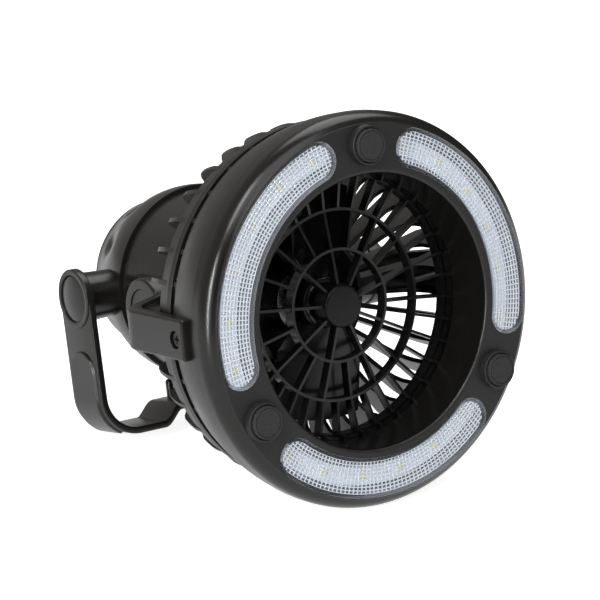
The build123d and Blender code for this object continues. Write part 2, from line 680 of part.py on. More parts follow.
# Bail handle: one bent strap with a round eye at each end, drawn hanging straight down from
# its pivot at the origin, then leant forward.
tilt = math.radians(REST_TILT)
floor_level = -(
    CROWN_RADIUS * math.cos(tilt) + CROWN_TUBE + CROWN_DEPTH * math.sin(tilt)
)
pivot_level = -SWING_AXIS * math.sin(tilt)
bail_turn = math.radians(REST_TILT + BAIL_LEAN)
BAIL_DROP = (
    pivot_level - floor_level - BAIL_WIDTH / 2 * math.sin(bail_turn)
) / math.cos(bail_turn)


def strap_face(shrink):
    """Rounded outline of the bail in the XZ plane, drawn inward by shrink."""
    sheet = RectangleRounded(
        2 * (BAIL_OUTER - shrink), 2 * (BAIL_DROP - shrink), BAIL_CORNER - shrink
    )
    return Plane.XZ * sheet


def strap_solid(outer_shrink, inner_shrink, width):
    """Lower half of the bent strap between two outlines."""
    face = strap_face(outer_shrink) - strap_face(inner_shrink)
    below = Pos(0, 0, -BAIL_DROP) * Box(400, 100, 2 * BAIL_DROP)
    return extrude(face, width / 2, both=True) & below


bail = strap_solid(0, BAIL_WALL, BAIL_WIDTH)
grip = strap_solid(-GRIP_PROUD, 1.0, BAIL_WIDTH - 6)
grip &= Pos(0, 0, -BAIL_DROP / 2 - 26) * Box(400, 100, BAIL_DROP)
grip -= Pos(0, 0, -BAIL_DROP) * Box(2 * (BAIL_OUTER - BAIL_CORNER), 100, 60)
bail += grip
for side in (1, -1):
    bail += rod_x(BAIL_EYE, side * BAIL_INNER, side * (BAIL_OUTER + 0.8), 0)
    bail -= rod_x(DISH_RADIUS + PLAY, side * (BAIL_OUTER - 1.0), side * (BAIL_OUTER + 3), 0)
    bail -= rod_x(3.5 + RUNNING, side * (BAIL_INNER - 2), side * (BAIL_OUTER + 3), 0)
bar_top = -BAIL_DROP + BAIL_WALL
saddle = make_face(
    Polyline(
        (-SADDLE_HALF - 10, bar_top - 1),
        (-SADDLE_HALF, bar_top + SADDLE_HEIGHT),
        (SADDLE_HALF, bar_top + SADDLE_HEIGHT),
        (SADDLE_HALF + 10, bar_top - 1),
        close=True,
    )
)
bail += Pos(0, BAIL_WIDTH / 2, 0) * extrude(Plane.XZ * saddle, SADDLE_WALL)
lug_y = BAIL_WIDTH / 2 - LUG_RADIUS - 0.1
for x in (-LUG_STATION, LUG_STATION):
    bail += Pos(x, lug_y, bar_top + LUG_HEIGHT / 2 - LUG_RADIUS) * Cylinder(LUG_RADIUS, LUG_HEIGHT)
    bail += Pos(x, lug_y, bar_top + LUG_HEIGHT - LUG_RADIUS) * Sphere(LUG_RADIUS)
for x in (-42, -24, 24, 42):
    bail -= Pos(x, -BAIL_WIDTH / 2, -BAIL_DROP) * Box(2.4, 2.4, 1.6)
set_bail = Pos(0, SWING_AXIS, 0) * Rot(-BAIL_LEAN, 0, 0)
nodes["bail_handle"] = set_bail * bail

# Handle pivots: shouldered screws into the cap bosses, under dished covers.
bail_pivot = rod_x(2.0, BOSS_END - 12, BOSS_END, SWING_AXIS)
bail_pivot += rod_x(3.5, BOSS_END, BAIL_OUTER - 1.0, SWING_AXIS)
bail_pivot += rod_x(6.0, BAIL_OUTER - 1.0 + 0.1, BAIL_OUTER - 0.2, SWING_AXIS)
bail_pivot += rod_x(3.5, BAIL_OUTER - 1.0, BAIL_OUTER - 0.8, SWING_AXIS)
nodes["handle_pivots"] = Compound(children=[bail_pivot, mirrored(bail_pivot)])
dish = rod_x(DISH_RADIUS, BAIL_OUTER - 1.0, BAIL_OUTER + 0.6, 0)
dish -= rod_x(6.4, BAIL_OUTER - 1.5, BAIL_OUTER - 0.1, 0)
dishes = [set_bail * dish, set_bail * mirrored(dish)]
nodes["handle_pivot_covers"] = Compound(children=dishes)

# Set the whole fan down: front tipped up, floor at Z = 0, middle of its bounds over the origin.
stood = {name: Rot(-REST_TILT, 0, 0) * shape for name, shape in nodes.items()}
bounds = Compound(children=[Compound(children=shape.solids()) for shape in stood.values()])
box = bounds.bounding_box()
settle = Pos(-(box.min.X + box.max.X) / 2, -(box.min.Y + box.max.Y) / 2, -box.min.Z)
os.makedirs("parts", exist_ok=True)
for name, shape in stood.items():
    placed = settle * shape
    solids = placed.solids()
    out = solids[0] if len(solids) == 1 else Compound(children=solids)
    export_step(out, "parts/" + name + ".step")
    print(name, len(solids))
print("settle", settle, "drop", BAIL_DROP)
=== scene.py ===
import math

import bmesh
import bpy
import numpy as np
from mathutils import Matrix, Vector


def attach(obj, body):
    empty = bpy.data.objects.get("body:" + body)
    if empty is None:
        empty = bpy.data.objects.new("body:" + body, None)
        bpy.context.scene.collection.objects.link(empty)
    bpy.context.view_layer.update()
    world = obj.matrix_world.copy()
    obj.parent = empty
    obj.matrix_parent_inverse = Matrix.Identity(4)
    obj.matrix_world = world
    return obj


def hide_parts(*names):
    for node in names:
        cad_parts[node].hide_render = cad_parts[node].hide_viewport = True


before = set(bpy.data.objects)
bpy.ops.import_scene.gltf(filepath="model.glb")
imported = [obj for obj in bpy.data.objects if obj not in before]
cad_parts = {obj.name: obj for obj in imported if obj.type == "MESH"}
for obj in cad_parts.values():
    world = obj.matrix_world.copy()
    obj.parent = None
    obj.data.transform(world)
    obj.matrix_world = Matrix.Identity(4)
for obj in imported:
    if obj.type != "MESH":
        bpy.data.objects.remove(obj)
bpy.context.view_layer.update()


# --- Front bezel ----------------------------------------------------------------------
# Injection-moulded black ABS. Its flat face carries a spark-eroded grain; the rolled edge
# and the duct behind it are left satin. It is screwed to the rear shell from behind.

# Lengths are in millimetres on the fan's own axes: x to the right, depth backwards along the
# fan axis and z up. At rest these axes lean back by REST_TILT about HEAD. HEAD is in metres on
# the part's axes, and WELD is the distance in metres at which points merge.
REST_TILT = math.radians(7.2)
HEAD = Vector((0, -0.0605621, 0.0874525))
WELD = 2e-6


def socket(node, name, value):
    """Set a constant on one of a node's inputs."""
    node.inputs[name].default_value = value


def feed(tree, node, name, value):
    """Give one of a node's inputs a number, or another node's output."""
    if isinstance(value, (int, float)):
        socket(node, name, value)
    else:
        tree.links.new(value, node.inputs[name])


def plain_material(name, colour, roughness, specular=0.5):
    """New material with its shader's constants set, with its node tree and its shader."""
    mat = bpy.data.materials.new(name)
    mat.use_nodes = True
    shader = mat.node_tree.nodes["Principled BSDF"]
    socket(shader, "Base Color", (*colour, 1))
    socket(shader, "Roughness", roughness)
    socket(shader, "Specular IOR Level", specular)
    return mat, mat.node_tree, shader


def maths(tree, operation, *values):
    """Result of one Math node; each value is a number or another node's output."""
    node = tree.nodes.new("ShaderNodeMath")
    node.operation = operation
    for index, value in enumerate(values):
        feed(tree, node, index, value)
    return node.outputs[0]


def ramp(tree, value, low=0.3, high=0.7, start=0, end=1):
    """Straight ramp of a value from start at low to end at high, held level beyond them."""
    node = tree.nodes.new("ShaderNodeMapRange")
    socket(node, "From Min", low)
    socket(node, "From Max", high)
    socket(node, "To Min", start)
    socket(node, "To Max", end)
    feed(tree, node, "Value", value)
    return node.outputs["Result"]


def head_place(tree, unit):
    """Place on the fan's own axes, counted along each in a unit given in metres."""
    turn = tree.nodes.new("ShaderNodeMapping")
    turn.vector_type = "TEXTURE"
    socket(turn, "Location", HEAD)
    socket(turn, "Rotation", (-REST_TILT, 0, 0))
    socket(turn, "Scale", unit)
    feed(tree, turn, "Vector", tree.nodes.new("ShaderNodeTexCoord").outputs["Object"])
    return turn.outputs["Vector"]


def noise(tree, grain, detail=2, stretch=None):
    """Noise in lumps about a grain across, in millimetres, or stretched on the fan's axes."""
    lumps = tree.nodes.new("ShaderNodeTexNoise")
    socket(lumps, "Scale", 1000 / grain)
    socket(lumps, "Detail", detail)
    if stretch:
        where = head_place(tree, stretch)
    else:
        where = tree.nodes.new("ShaderNodeTexCoord").outputs["Object"]
    feed(tree, lumps, "Vector", where)
    return lumps.outputs["Fac"]


def tint(tree, factor, dark, light, shader):
    """Blend the base colour between two near colours."""
    blend = tree.nodes.new("ShaderNodeMix")
    blend.data_type = "RGBA"
    # A Mix node's colours are its inputs 6 and 7, and their blend its output 2.
    feed(tree, blend, 0, factor)
    socket(blend, 6, (*dark, 1))
    socket(blend, 7, (*light, 1))
    feed(tree, shader, "Base Color", blend.outputs[2])


def relief(tree, height, strength, depth, shader):
    """Bump from a height between 0 and 1, a depth in millimetres from low to high."""
    bump = tree.nodes.new("ShaderNodeBump")
    socket(bump, "Distance", depth / 1000)
    feed(tree, bump, "Strength", strength)
    feed(tree, bump, "Height", height)
    feed(tree, shader, "Normal", bump.outputs["Normal"])


def on_fan_axis(tree):
    """Radius from the fan axis, angle round it in degrees, and depth along it."""
    split = tree.nodes.new("ShaderNodeSeparateXYZ")
    feed(tree, split, "Vector", head_place(tree, (0.001, 0.001, 0.001)))
    x, depth, z = split.outputs
    squares = maths(tree, "ADD", maths(tree, "MULTIPLY", x, x), maths(tree, "MULTIPLY", z, z))
    angle = maths(tree, "MULTIPLY", maths(tree, "ARCTAN2", z, x), 180 / math.pi)
    return maths(tree, "SQRT", squares), angle, depth


def shade_group(angle):
    """Node group that shades smooth every edge flatter than the angle, in degrees."""
    name = "shade %d" % angle
    if name in bpy.data.node_groups:
        return bpy.data.node_groups[name]
    group = bpy.data.node_groups.new(name, "GeometryNodeTree")
    for way in ("INPUT", "OUTPUT"):
        group.interface.new_socket("Geometry", in_out=way, socket_type="NodeSocketGeometry")
    start = group.nodes.new("NodeGroupInput")
    end = group.nodes.new("NodeGroupOutput")
    faces = group.nodes.new("GeometryNodeSetShadeSmooth")
    faces.domain = "FACE"
    edges = group.nodes.new("GeometryNodeSetShadeSmooth")
    edges.domain = "EDGE"
    socket(edges, "Shade Smooth", False)
    edge_angle = group.nodes.new("GeometryNodeInputMeshEdgeAngle")
    sharp = group.nodes.new("FunctionNodeCompare")
    sharp.data_type = "FLOAT"
    sharp.operation = "GREATER_THAN"
    socket(sharp, "B", math.radians(angle))
    feed(group, faces, "Geometry", start.outputs[0])
    feed(group, edges, "Geometry", faces.outputs["Geometry"])
    feed(group, sharp, "A", edge_angle.outputs["Unsigned Angle"])
    feed(group, edges, "Selection", sharp.outputs["Result"])
    feed(group, end, 0, edges.outputs["Geometry"])
    return group


def finish(thing, angle=32, round_edge=0.0, segments=2):
    """Weld loose triangles, round the edges sharper than the angle and shade the rest smooth."""
    weld = thing.modifiers.new("weld", "WELD")
    weld.merge_threshold = WELD
    if round_edge:
        flat = thing.modifiers.new("flat", "DECIMATE")
        flat.decimate_type = "DISSOLVE"
        flat.angle_limit = math.radians(0.6)
        bevel = thing.modifiers.new("bevel", "BEVEL")
        bevel.width = round_edge / 1000
        bevel.segments = segments
        bevel.limit_method = "ANGLE"
        bevel.angle_limit = math.radians(angle)
        bevel.use_clamp_overlap = True
    shade = thing.modifiers.new("shade", "NODES")
    shade.node_group = shade_group(angle)
    if round_edge:
        even = thing.modifiers.new("even", "WEIGHTED_NORMAL")
        even.keep_sharp = True


def in_head(x, depth, z):
    """Arrays on the fan's own axes, in millimetres, as points of the part in metres."""
    c, s = math.cos(REST_TILT), math.sin(REST_TILT)
    x, depth, z = np.broadcast_arrays(x, depth, z)
    points = np.stack([x, depth * c + z * s, -depth * s + z * c], axis=-1)
    return points / 1000 + np.array(HEAD)


def arc(centre, size, start, end, count):
    """Points of an arc, in degrees from the first axis towards the second."""
    turn = np.radians(np.linspace(start, end, count))
    return np.stack([centre[0] + size * np.cos(turn), centre[1] + size * np.sin(turn)], axis=-1)


def spun(profile, count):
    """Radii and stations of a profile as columns, and a whole turn in a row of angles.

    A profile that starts on the axis ends there too. Any other is closed on itself.
    """
    profile = np.asarray(profile, float)
    if profile[0][0] > 0:
        profile = np.vstack([profile, profile[:1]])
    return profile[:, :1], profile[:, 1:], np.linspace(0, 2 * np.pi, count + 1)[None, :]


def lathe(profile, count, middle=(0.0, 0.0)):
    """Profile of (radius, depth) points carried round an axis along the fan's.

    With u round the axis, a point stands at the middle plus radius times (cos u, sin u), at its
    own depth.
    """
    r, depth, u = spun(profile, count)
    return in_head(middle[0] + r * np.cos(u), depth, middle[1] + r * np.sin(u))


def quads(*grids):
    """Points and faces of several grids, one quad for each step along both parameters."""
    points, faces, start = [], [], 0
    for grid in grids:
        rows, columns = grid.shape[:2]
        index = start + np.arange(rows * columns).reshape(rows, columns)
        cells = [index[:-1, :-1], index[1:, :-1], index[1:, 1:], index[:-1, 1:]]
        faces.append(np.stack(cells, axis=-1).reshape(-1, 4))
        points.append(grid.reshape(-1, 3))
        start += rows * columns
    return np.concatenate(points), np.concatenate(faces).tolist()


def welded(points, faces):
    """Mesh with its doubles merged, slivers dropped and its faces turned outwards."""
    mesh = bpy.data.meshes.new("welded")
    mesh.from_pydata(np.asarray(points).tolist(), [], [list(face) for face in faces])
    work = bmesh.new()
    work.from_mesh(mesh)
    bmesh.ops.remove_doubles(work, verts=work.verts, dist=WELD)
    bmesh.ops.dissolve_degenerate(work, edges=work.edges, dist=WELD / 2)
    bmesh.ops.recalc_face_normals(work, faces=work.faces)
    work.to_mesh(mesh)
    work.free()
    return mesh


def piece(name, mesh, body, mat):
    """Put a mesh into the scene as a piece that rides on a body."""
    mesh.name = name
    mesh.materials.append(mat)
    thing = bpy.data.objects.new(name, mesh)
    bpy.context.scene.collection.objects.link(thing)
    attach(thing, body)
    return thing


def slot_grid(inner, outer, sweep, heights, turn, cuts=96):
    """Closed body over a curved slot with round ends, drawn as rings from rim to middle line.

    The rim runs along the outer arc, round one end, back along the inner arc and round the
    other. A ring at inset t stands at the rim moved t of the way to the slot's middle line, so
    heights gives (t, depth) pairs from the middle of the back, over the rim, to the middle of
    the front. The sweep and the turn of its middle are in degrees.
    """
    middle, half = (inner + outer) / 2, (outer - inner) / 2
    low = math.radians(sweep / 2) - half / middle
    along = np.linspace(-low, low, cuts)
    end = np.linspace(0, math.pi, 25)[1:-1]
    still = np.zeros(cuts)
    mid = np.concatenate([along, np.full(end.size, low), along[::-1], np.full(end.size, -low)])
    off = half * np.concatenate([still + 1, np.cos(end), still - 1, -np.cos(end)])
    side = half * np.concatenate([still, np.sin(end), still, -np.sin(end)])
    mid, off, side = (np.append(values, values[0])[:, None] for values in (mid, off, side))
    inset, depth = np.array(heights, float).T
    keep = 1 - inset
    r = middle + off * keep
    angle = mid + math.radians(turn)
    x = r * np.cos(angle) - side * keep * np.sin(angle)
    z = r * np.sin(angle) + side * keep * np.cos(angle)
    return in_head(x, depth, z)


def cut(mesh, cutter):
    """The mesh less the cutter, worked out once; the cutter doesn't stay in the scene."""
    body = bpy.data.objects.new("body", mesh)
    tool = bpy.data.objects.new("tool", cutter)
    for thing in (body, tool):
        bpy.context.scene.collection.objects.link(thing)
    carve = body.modifiers.new("carve", "BOOLEAN")
    carve.operation = "DIFFERENCE"
    carve.solver = "EXACT"
    carve.object = tool
    graph = bpy.context.evaluated_depsgraph_get()
    done = bpy.data.meshes.new_from_object(body.evaluated_get(graph))
    for thing in (body, tool):
        bpy.data.objects.remove(thing)
    return done


SEAM = -16.0
FACE = -28.8
FACE_EDGE = 84.7
FACE_MIDDLE = 75.3
ROLL = 8.4
ROLL_MIDDLE = (81.6, -20.6)
ROLL_WALL = 2.6
DUCT = 62.2
DUCT_WALL = 2.4
DUCT_JOIN = -4.0
LIP = 1.8
LAMPS = {"right": 30, "left": 150, "bottom": 270}
LENS = (66.2, 84.4)
LENS_SWEEP = 94.0
WINDOW_SWEEP = LENS_SWEEP + 0.25
WINDOW_GAP = 0.15
WINDOW = [(1, -22.0), (0, -22.0), (0, -30.5), (1, -30.5)]
BOSS_FRONT = -32.0
BOSS_SEAT = -30.0

bezel_black, tree, shader = plain_material("bezel black", (0.014, 0.0135, 0.013), 0.4)
radius, _, depth = on_fan_axis(tree)
grained = maths(tree, "MULTIPLY", ramp(tree, radius, FACE_EDGE - 0.4, FACE_EDGE + 0.6, 1, 0),
                ramp(tree, depth, FACE + 0.3, FACE + 0.8, 1, 0))
satin = ramp(tree, noise(tree, 30, 4), start=0.20, end=0.27)
feed(tree, shader, "Roughness", maths(tree, "MULTIPLY_ADD", grained, 0.26, satin))
relief(tree, noise(tree, 0.5), maths(tree, "MULTIPLY_ADD", grained, 0.5, 0.05), 0.25, shader)
tint(tree, grained, (0.0075, 0.007, 0.0065), (0.0125, 0.0122, 0.0125), shader)

ring_edge = ROLL_MIDDLE[0] + ROLL
duct_back = DUCT + DUCT_WALL
bezel_profile = np.vstack([
    [(ring_edge, SEAM)], arc(ROLL_MIDDLE, ROLL, 0, -63.2, 16),
    [(FACE_EDGE + 0.2, FACE + 0.18), (FACE_EDGE - 0.1, FACE), (FACE_EDGE - 0.5, FACE)],
    [(DUCT + LIP + 0.1, FACE)], arc((DUCT + LIP, FACE + LIP), LIP, 270, 180, 7),
    [(DUCT, FACE + 2.8), (DUCT, DUCT_JOIN), (duct_back, DUCT_JOIN), (duct_back, FACE + DUCT_WALL)],
    arc(ROLL_MIDDLE, ROLL - ROLL_WALL, 270, 360, 8), [(ring_edge - ROLL_WALL, SEAM)],
])
windows = [slot_grid(LENS[0] - WINDOW_GAP, LENS[1] + WINDOW_GAP, WINDOW_SWEEP, WINDOW, turn)
           for turn in LAMPS.values()]
bezel = cut(welded(*quads(lathe(bezel_profile, 240))), welded(*quads(*windows)))
bezel = piece("front_bezel_shell", bezel, "head", bezel_black)
finish(bezel, 28)
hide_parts("front_bezel")

FEET = arc((0, 0), FACE_MIDDLE, 90, 330, 3)
boss_profile = np.vstack([
    [(0, FACE + 0.6), (9.3, FACE + 0.6), (9.2, FACE), (8.95, BOSS_FRONT + 0.6)],
    arc((8.35, BOSS_FRONT + 0.6), 0.6, 0, -90, 4),
    [(8.0, BOSS_FRONT), (7.7, BOSS_FRONT + 0.2), (7.7, BOSS_SEAT), (0, BOSS_SEAT)],
])
bosses = welded(*quads(*[lathe(boss_profile, 72, foot) for foot in FEET]))
bosses = piece("foot_bosses", bosses, "head", bezel_black)
finish(bosses, 28)


# --- Foot pads ------------------------------------------------------------------------
# Three matt black rubber discs, moulded with a fine ring groove and a cloth-like grain, glued
# into the round bosses of the bezel so that the fan can lie on its face.

PAD = 7.4
PAD_BACK = -30.2
PAD_FRONT = -33.6
PAD_ROUND = 0.5
PAD_GROOVE = (6.2, 6.6)

pad_rubber, tree, shader = plain_material("pad rubber", (0.016, 0.016, 0.0165), 0.72, 0.4)
fleck = noise(tree, 0.35)
tint(tree, ramp(tree, fleck, 0.4, 0.65), (0.018, 0.018, 0.0185), (0.048, 0.048, 0.048), shader)
relief(tree, fleck, 0.4, 0.15, shader)

pad_profile = np.vstack([
    [(0, PAD_BACK), (PAD, PAD_BACK), (PAD, PAD_FRONT + PAD_ROUND)],
    arc((PAD - PAD_ROUND, PAD_FRONT + PAD_ROUND), PAD_ROUND, 0, -90, 4),
    [(PAD_GROOVE[1] + 0.15, PAD_FRONT), (PAD_GROOVE[1], PAD_FRONT + 0.1)],
    [(PAD_GROOVE[1], PAD_FRONT + 0.4), (PAD_GROOVE[0], PAD_FRONT + 0.4)],
    [(PAD_GROOVE[0], PAD_FRONT + 0.1), (PAD_GROOVE[0] - 0.15, PAD_FRONT)],
    [(3.0, PAD_FRONT - 0.03), (0, PAD_FRONT - 0.05)],
])
pads = welded(*quads(*[lathe(pad_profile, 64, foot) for foot in FEET]))
pads = piece("foot_pads_moulded", pads, "head", pad_rubber)
finish(pads, 28)
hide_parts("foot_pads")


# --- Ring rear shell ------------------------------------------------------------------
# Rear half of the light ring, moulded in the same black with a smooth satin skin. It carries
# the posts of the light boards and the flats that the side arms are screwed to.

SHELL_FRONT = SEAM + 0.15
SHELL_BACK = 5.6
SHELL_WALL = 2.4
SHELL_SKIN = (89.7, 85.4)
SHELL_BULGE = 3.2


def satin_black(name, dark, light, roughness, grain, specular=0.5):
    """Satin moulded plastic: slow changes of colour and gloss under a very fine grain."""
    mat, tree, shader = plain_material(name, dark, roughness, specular)
    slow = noise(tree, 22, 4)
    feed(tree, shader, "Roughness",
         ramp(tree, slow, start=roughness * 0.82, end=roughness * 1.18))
    tint(tree, ramp(tree, slow), dark, light, shader)
    relief(tree, noise(tree, grain), 0.12, 0.1, shader)
    return mat


shell_black = satin_black("shell black", (0.0075, 0.0068, 0.006), (0.011, 0.0098, 0.0088),
                          0.34, 0.4)
# With b from 0 at the seam to 1 at the back, the skin narrows evenly and swells by b (1 - b).
b = np.linspace(0, 1, 14)
skin = SHELL_SKIN[0] + (SHELL_SKIN[1] - SHELL_SKIN[0]) * b + SHELL_BULGE * b * (1 - b)
shell_profile = np.vstack([
    np.stack([skin, SHELL_FRONT + (SHELL_BACK - SHELL_FRONT) * b], axis=-1),
    [(DUCT, SHELL_BACK), (DUCT, 0.0), (duct_back, 0.0), (duct_back, SHELL_BACK - SHELL_WALL)],
    [(SHELL_SKIN[1] - SHELL_WALL, SHELL_BACK - SHELL_WALL)],
    [(SHELL_SKIN[0] - SHELL_WALL, SHELL_FRONT)],
])
shell = welded(*quads(lathe(shell_profile, 240)))
shell = piece("ring_shell", shell, "head", shell_black)
finish(shell, 28)
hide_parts("ring_rear_shell")


# --- Light boards and chips -----------------------------------------------------------
# White-lacquered circuit strips on the rear shell's posts, each with six yellow light chips:
# a white ceramic frame round a pool of phosphor.

BOARD_FRONT = -22.4
BOARD_BACK = -21.2
BOARD = (71.0, 79.6)
BOARD_SWEEP = 95.0
CHIP_STEP = 16.3
CHIP_STATIONS = CHIP_STEP * (np.arange(6) - 2.5)
CHIP_HALF = (1.4, 1.75)
CHIP_TALL = 0.8
CHIP_POOL = 1.2
POOL_TURN = 1.15

board_white, tree, shader = plain_material("board white", (0.82, 0.86, 0.95), 0.45)
radius, _, _ = on_fan_axis(tree)
track = maths(tree, "ABSOLUTE", maths(tree, "SUBTRACT", radius, FACE_MIDDLE))
tint(tree, ramp(tree, track, 3.4, 3.8), (0.82, 0.87, 0.95), (0.62, 0.67, 0.75), shader)
relief(tree, noise(tree, 0.8), 0.1, 0.1, shader)
board_section = [(1, BOARD_BACK), (0, BOARD_BACK), (0, BOARD_FRONT), (1, BOARD_FRONT)]
for name, turn in LAMPS.items():
    strip = welded(*quads(slot_grid(*BOARD, BOARD_SWEEP, board_section, turn)))
    strip = piece("light_strip_" + name, strip, "head", board_white)
    finish(strip)
    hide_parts("light_board_" + name)

chip_face, tree, shader = plain_material("chip face", (0.85, 0.8, 0.3), 0.3)
radius, angle, _ = on_fan_axis(tree)
# The first wrap lays all three lamps over the right one; the second counts steps from its middle.
turn = maths(tree, "WRAP", angle, 90, -30)
along = maths(tree, "WRAP", maths(tree, "SUBTRACT", turn, LAMPS["right"]), CHIP_STEP, 0.0)
off_turn = maths(tree, "ABSOLUTE", maths(tree, "SUBTRACT", along, CHIP_STEP / 2))
off_line = maths(tree, "ABSOLUTE", maths(tree, "SUBTRACT", radius, FACE_MIDDLE))
pool = maths(tree, "MULTIPLY", ramp(tree, off_turn, POOL_TURN, POOL_TURN + 0.15, 1, 0),
             ramp(tree, off_line, CHIP_POOL, CHIP_POOL + 0.15, 1, 0))
tint(tree, pool, (0.86, 0.86, 0.80), (0.86, 0.78, 0.22), shader)


def light_chip(turn):
    """Oblong block with a tapered front: four corners at each of three levels.

    Each level is a share of the block's size and a depth.
    """
    levels = [(1, BOARD_FRONT), (1, BOARD_FRONT - CHIP_TALL * 0.7), (0.86, BOARD_FRONT - CHIP_TALL)]
    share, depth = (column[:, None] for column in np.array(levels).T)
    corners = np.array([(-1, -1), (1, -1), (1, 1), (-1, 1)]) * CHIP_HALF
    r = FACE_MIDDLE + corners[:, 0] * share
    side = corners[:, 1] * share
    c, s = math.cos(math.radians(turn)), math.sin(math.radians(turn))
    faces = [(3, 2, 1, 0), (8, 9, 10, 11)]
    faces += [(low + k, low + (k + 1) % 4, low + (k + 1) % 4 + 4, low + k + 4)
              for low in (0, 4) for k in range(4)]
    return in_head(r * c - side * s, depth, r * s + side * c).reshape(-1, 3), faces


def joined(*parts):
    """Several (points, faces) lists as one."""
    points, faces, start = [], [], 0
    for some_points, some_faces in parts:
        points.append(some_points)
        faces += [[k + start for k in face] for face in some_faces]
        start += len(some_points)
    return np.concatenate(points), faces


chips = welded(*joined(*[light_chip(turn + station) for turn in LAMPS.values()
                         for station in CHIP_STATIONS]))
chips = piece("light_chip_row", chips, "head", chip_face)
finish(chips)
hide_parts("light_chips")


# --- Lenses ---------------------------------------------------------------------------
# Clear polycarbonate trays pressed into the face, each over a sheet moulded in rows of tiny
# pillows that spread the light. A smooth rim is left all round.

LENS_FRONT = -29.6
TRAY = [(1, -28.0), (0.18, -28.0), (0.17, -22.5), (0, -22.5), (0, LENS_FRONT + 0.6),
        (0.018, LENS_FRONT + 0.25), (0.066, LENS_FRONT), (0.3, LENS_FRONT), (1, LENS_FRONT)]
SHEET_HALF = 7.4
SHEET_END = math.radians(40.08)
SHEET_FRONT = -27.95
SHEET_THIN = 0.2
PILLOW_ROWS = 9
PILLOW_COLUMNS = 57
PILLOW_TURN = 120 / 74
PILLOW_CUTS = 4
PILLOW_RISE = 0.7


def walled(front, back, kept):
    """Closed body between two grids of points; kept marks the cells that are there.

    Cell (i, j) has the corners (i, j), (i+1, j), (i+1, j+1), (i, j+1). The front keeps that
    order, the back has it reversed, and each edge used by one kept cell gets a wall.
    """
    rows, columns = front.shape[:2]
    shift = rows * columns
    index = np.arange(shift).reshape(rows, columns)
    cells = np.stack([index[:-1, :-1], index[1:, :-1], index[1:, 1:], index[:-1, 1:]], axis=-1)
    cells = cells[kept]
    edges = np.concatenate([cells[:, [k, (k + 1) % 4]] for k in range(4)])
    ends = np.sort(edges, axis=1)
    _, first, count = np.unique(ends[:, 0] * shift + ends[:, 1], return_index=True,
                                return_counts=True)
    rim = edges[first[count == 1]]
    walls = np.stack([rim[:, 1], rim[:, 0], rim[:, 0] + shift, rim[:, 1] + shift], axis=-1)
    faces = np.concatenate([cells, cells[:, ::-1] + shift, walls])
    points = np.concatenate([front.reshape(-1, 3), back.reshape(-1, 3)])
    used, where = np.unique(faces, return_inverse=True)
    return points[used], where.reshape(faces.shape).tolist()


def pillow_sheet(centre):
    """Sheet of pillows over a curved slot with round ends, its middle at a turn in degrees.

    With u and v running along and across it, radius is the slot's inner radius plus its width
    times v, and the angle is the centre plus the step times u, held inside the slot's round
    end. The back stands proud of the thin sheet by the rise times (1 - a^2)(1 - b^2), where a
    and b run from -1 to 1 over each pillow.
    """
    u = np.arange(PILLOW_COLUMNS * PILLOW_CUTS + 1) / PILLOW_CUTS
    v = np.arange(PILLOW_ROWS * PILLOW_CUTS + 1) / PILLOW_CUTS
    v, u = np.meshgrid(v, u, indexing="ij")
    r = FACE_MIDDLE + SHEET_HALF * (2 * v / PILLOW_ROWS - 1) * 0.999
    turn = (u - PILLOW_COLUMNS / 2) * math.radians(PILLOW_TURN)
    cosine = (r**2 + FACE_MIDDLE**2 - SHEET_HALF**2) / (2 * r * FACE_MIDDLE)
    limit = SHEET_END + np.arccos(np.clip(cosine, -1, 1))
    held = np.clip(turn, -limit, limit)
    outside = turn != held
    a = 2 * (u % 1) - 1
    b = 2 * (v % 1) - 1
    rise = np.where(outside, 0, (1 - a**2) * (1 - b**2)) * PILLOW_RISE
    angle = held + math.radians(centre)
    x, z = r * np.cos(angle), r * np.sin(angle)
    gone = outside[:-1, :-1] & outside[1:, :-1] & outside[1:, 1:] & outside[:-1, 1:]
    return walled(in_head(x, SHEET_FRONT, z), in_head(x, SHEET_FRONT + SHEET_THIN + rise, z),
                  ~gone)


def near_line(tree, value, width):
    """1 on the whole numbers of a value, falling to 0 a width away."""
    part = maths(tree, "FRACT", value)
    off = maths(tree, "ABSOLUTE", maths(tree, "SUBTRACT", part, 0.5))
    return ramp(tree, off, 0.5 - width, 0.5 - width * 0.4)


lens_clear, tree, shader = plain_material("lens clear", (0.78, 0.82, 0.88), 0.06, 0.8)
feed(tree, shader, "Roughness", ramp(tree, noise(tree, 20), start=0.04, end=0.10))
steep = tree.nodes.new("ShaderNodeLayerWeight")
socket(steep, "Blend", 0.5)
feed(tree, shader, "Alpha", ramp(tree, steep.outputs["Facing"], 0.48, 0.98, 0.05, 0.7))

prism_clear, tree, shader = plain_material("prism clear", (0.76, 0.82, 0.90), 0.10, 0.7)
radius, angle, _ = on_fan_axis(tree)
rows_per_mm = PILLOW_ROWS / (2 * SHEET_HALF)
row = maths(tree, "MULTIPLY_ADD", radius, rows_per_mm, -(FACE_MIDDLE - SHEET_HALF) * rows_per_mm)
column = maths(tree, "MULTIPLY_ADD", angle, 1 / PILLOW_TURN,
               PILLOW_COLUMNS / 2 - LAMPS["right"] / PILLOW_TURN)
lines = maths(tree, "MAXIMUM", near_line(tree, row, 0.21), near_line(tree, column, 0.15))
feed(tree, shader, "Alpha", ramp(tree, lines, 0, 1, 0.03, 0.85))

for name, turn in LAMPS.items():
    tray = welded(*quads(slot_grid(*LENS, LENS_SWEEP, TRAY, turn, 140)))
    tray = piece("lens_tray_" + name, tray, "head", lens_clear)
    finish(tray, 30)
    tray.visible_shadow = False
    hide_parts("lens_" + name)
    sheet = welded(*pillow_sheet(turn))
    sheet = piece("lens_pillows_" + name, sheet, "head", prism_clear)
    sheet.visible_shadow = False


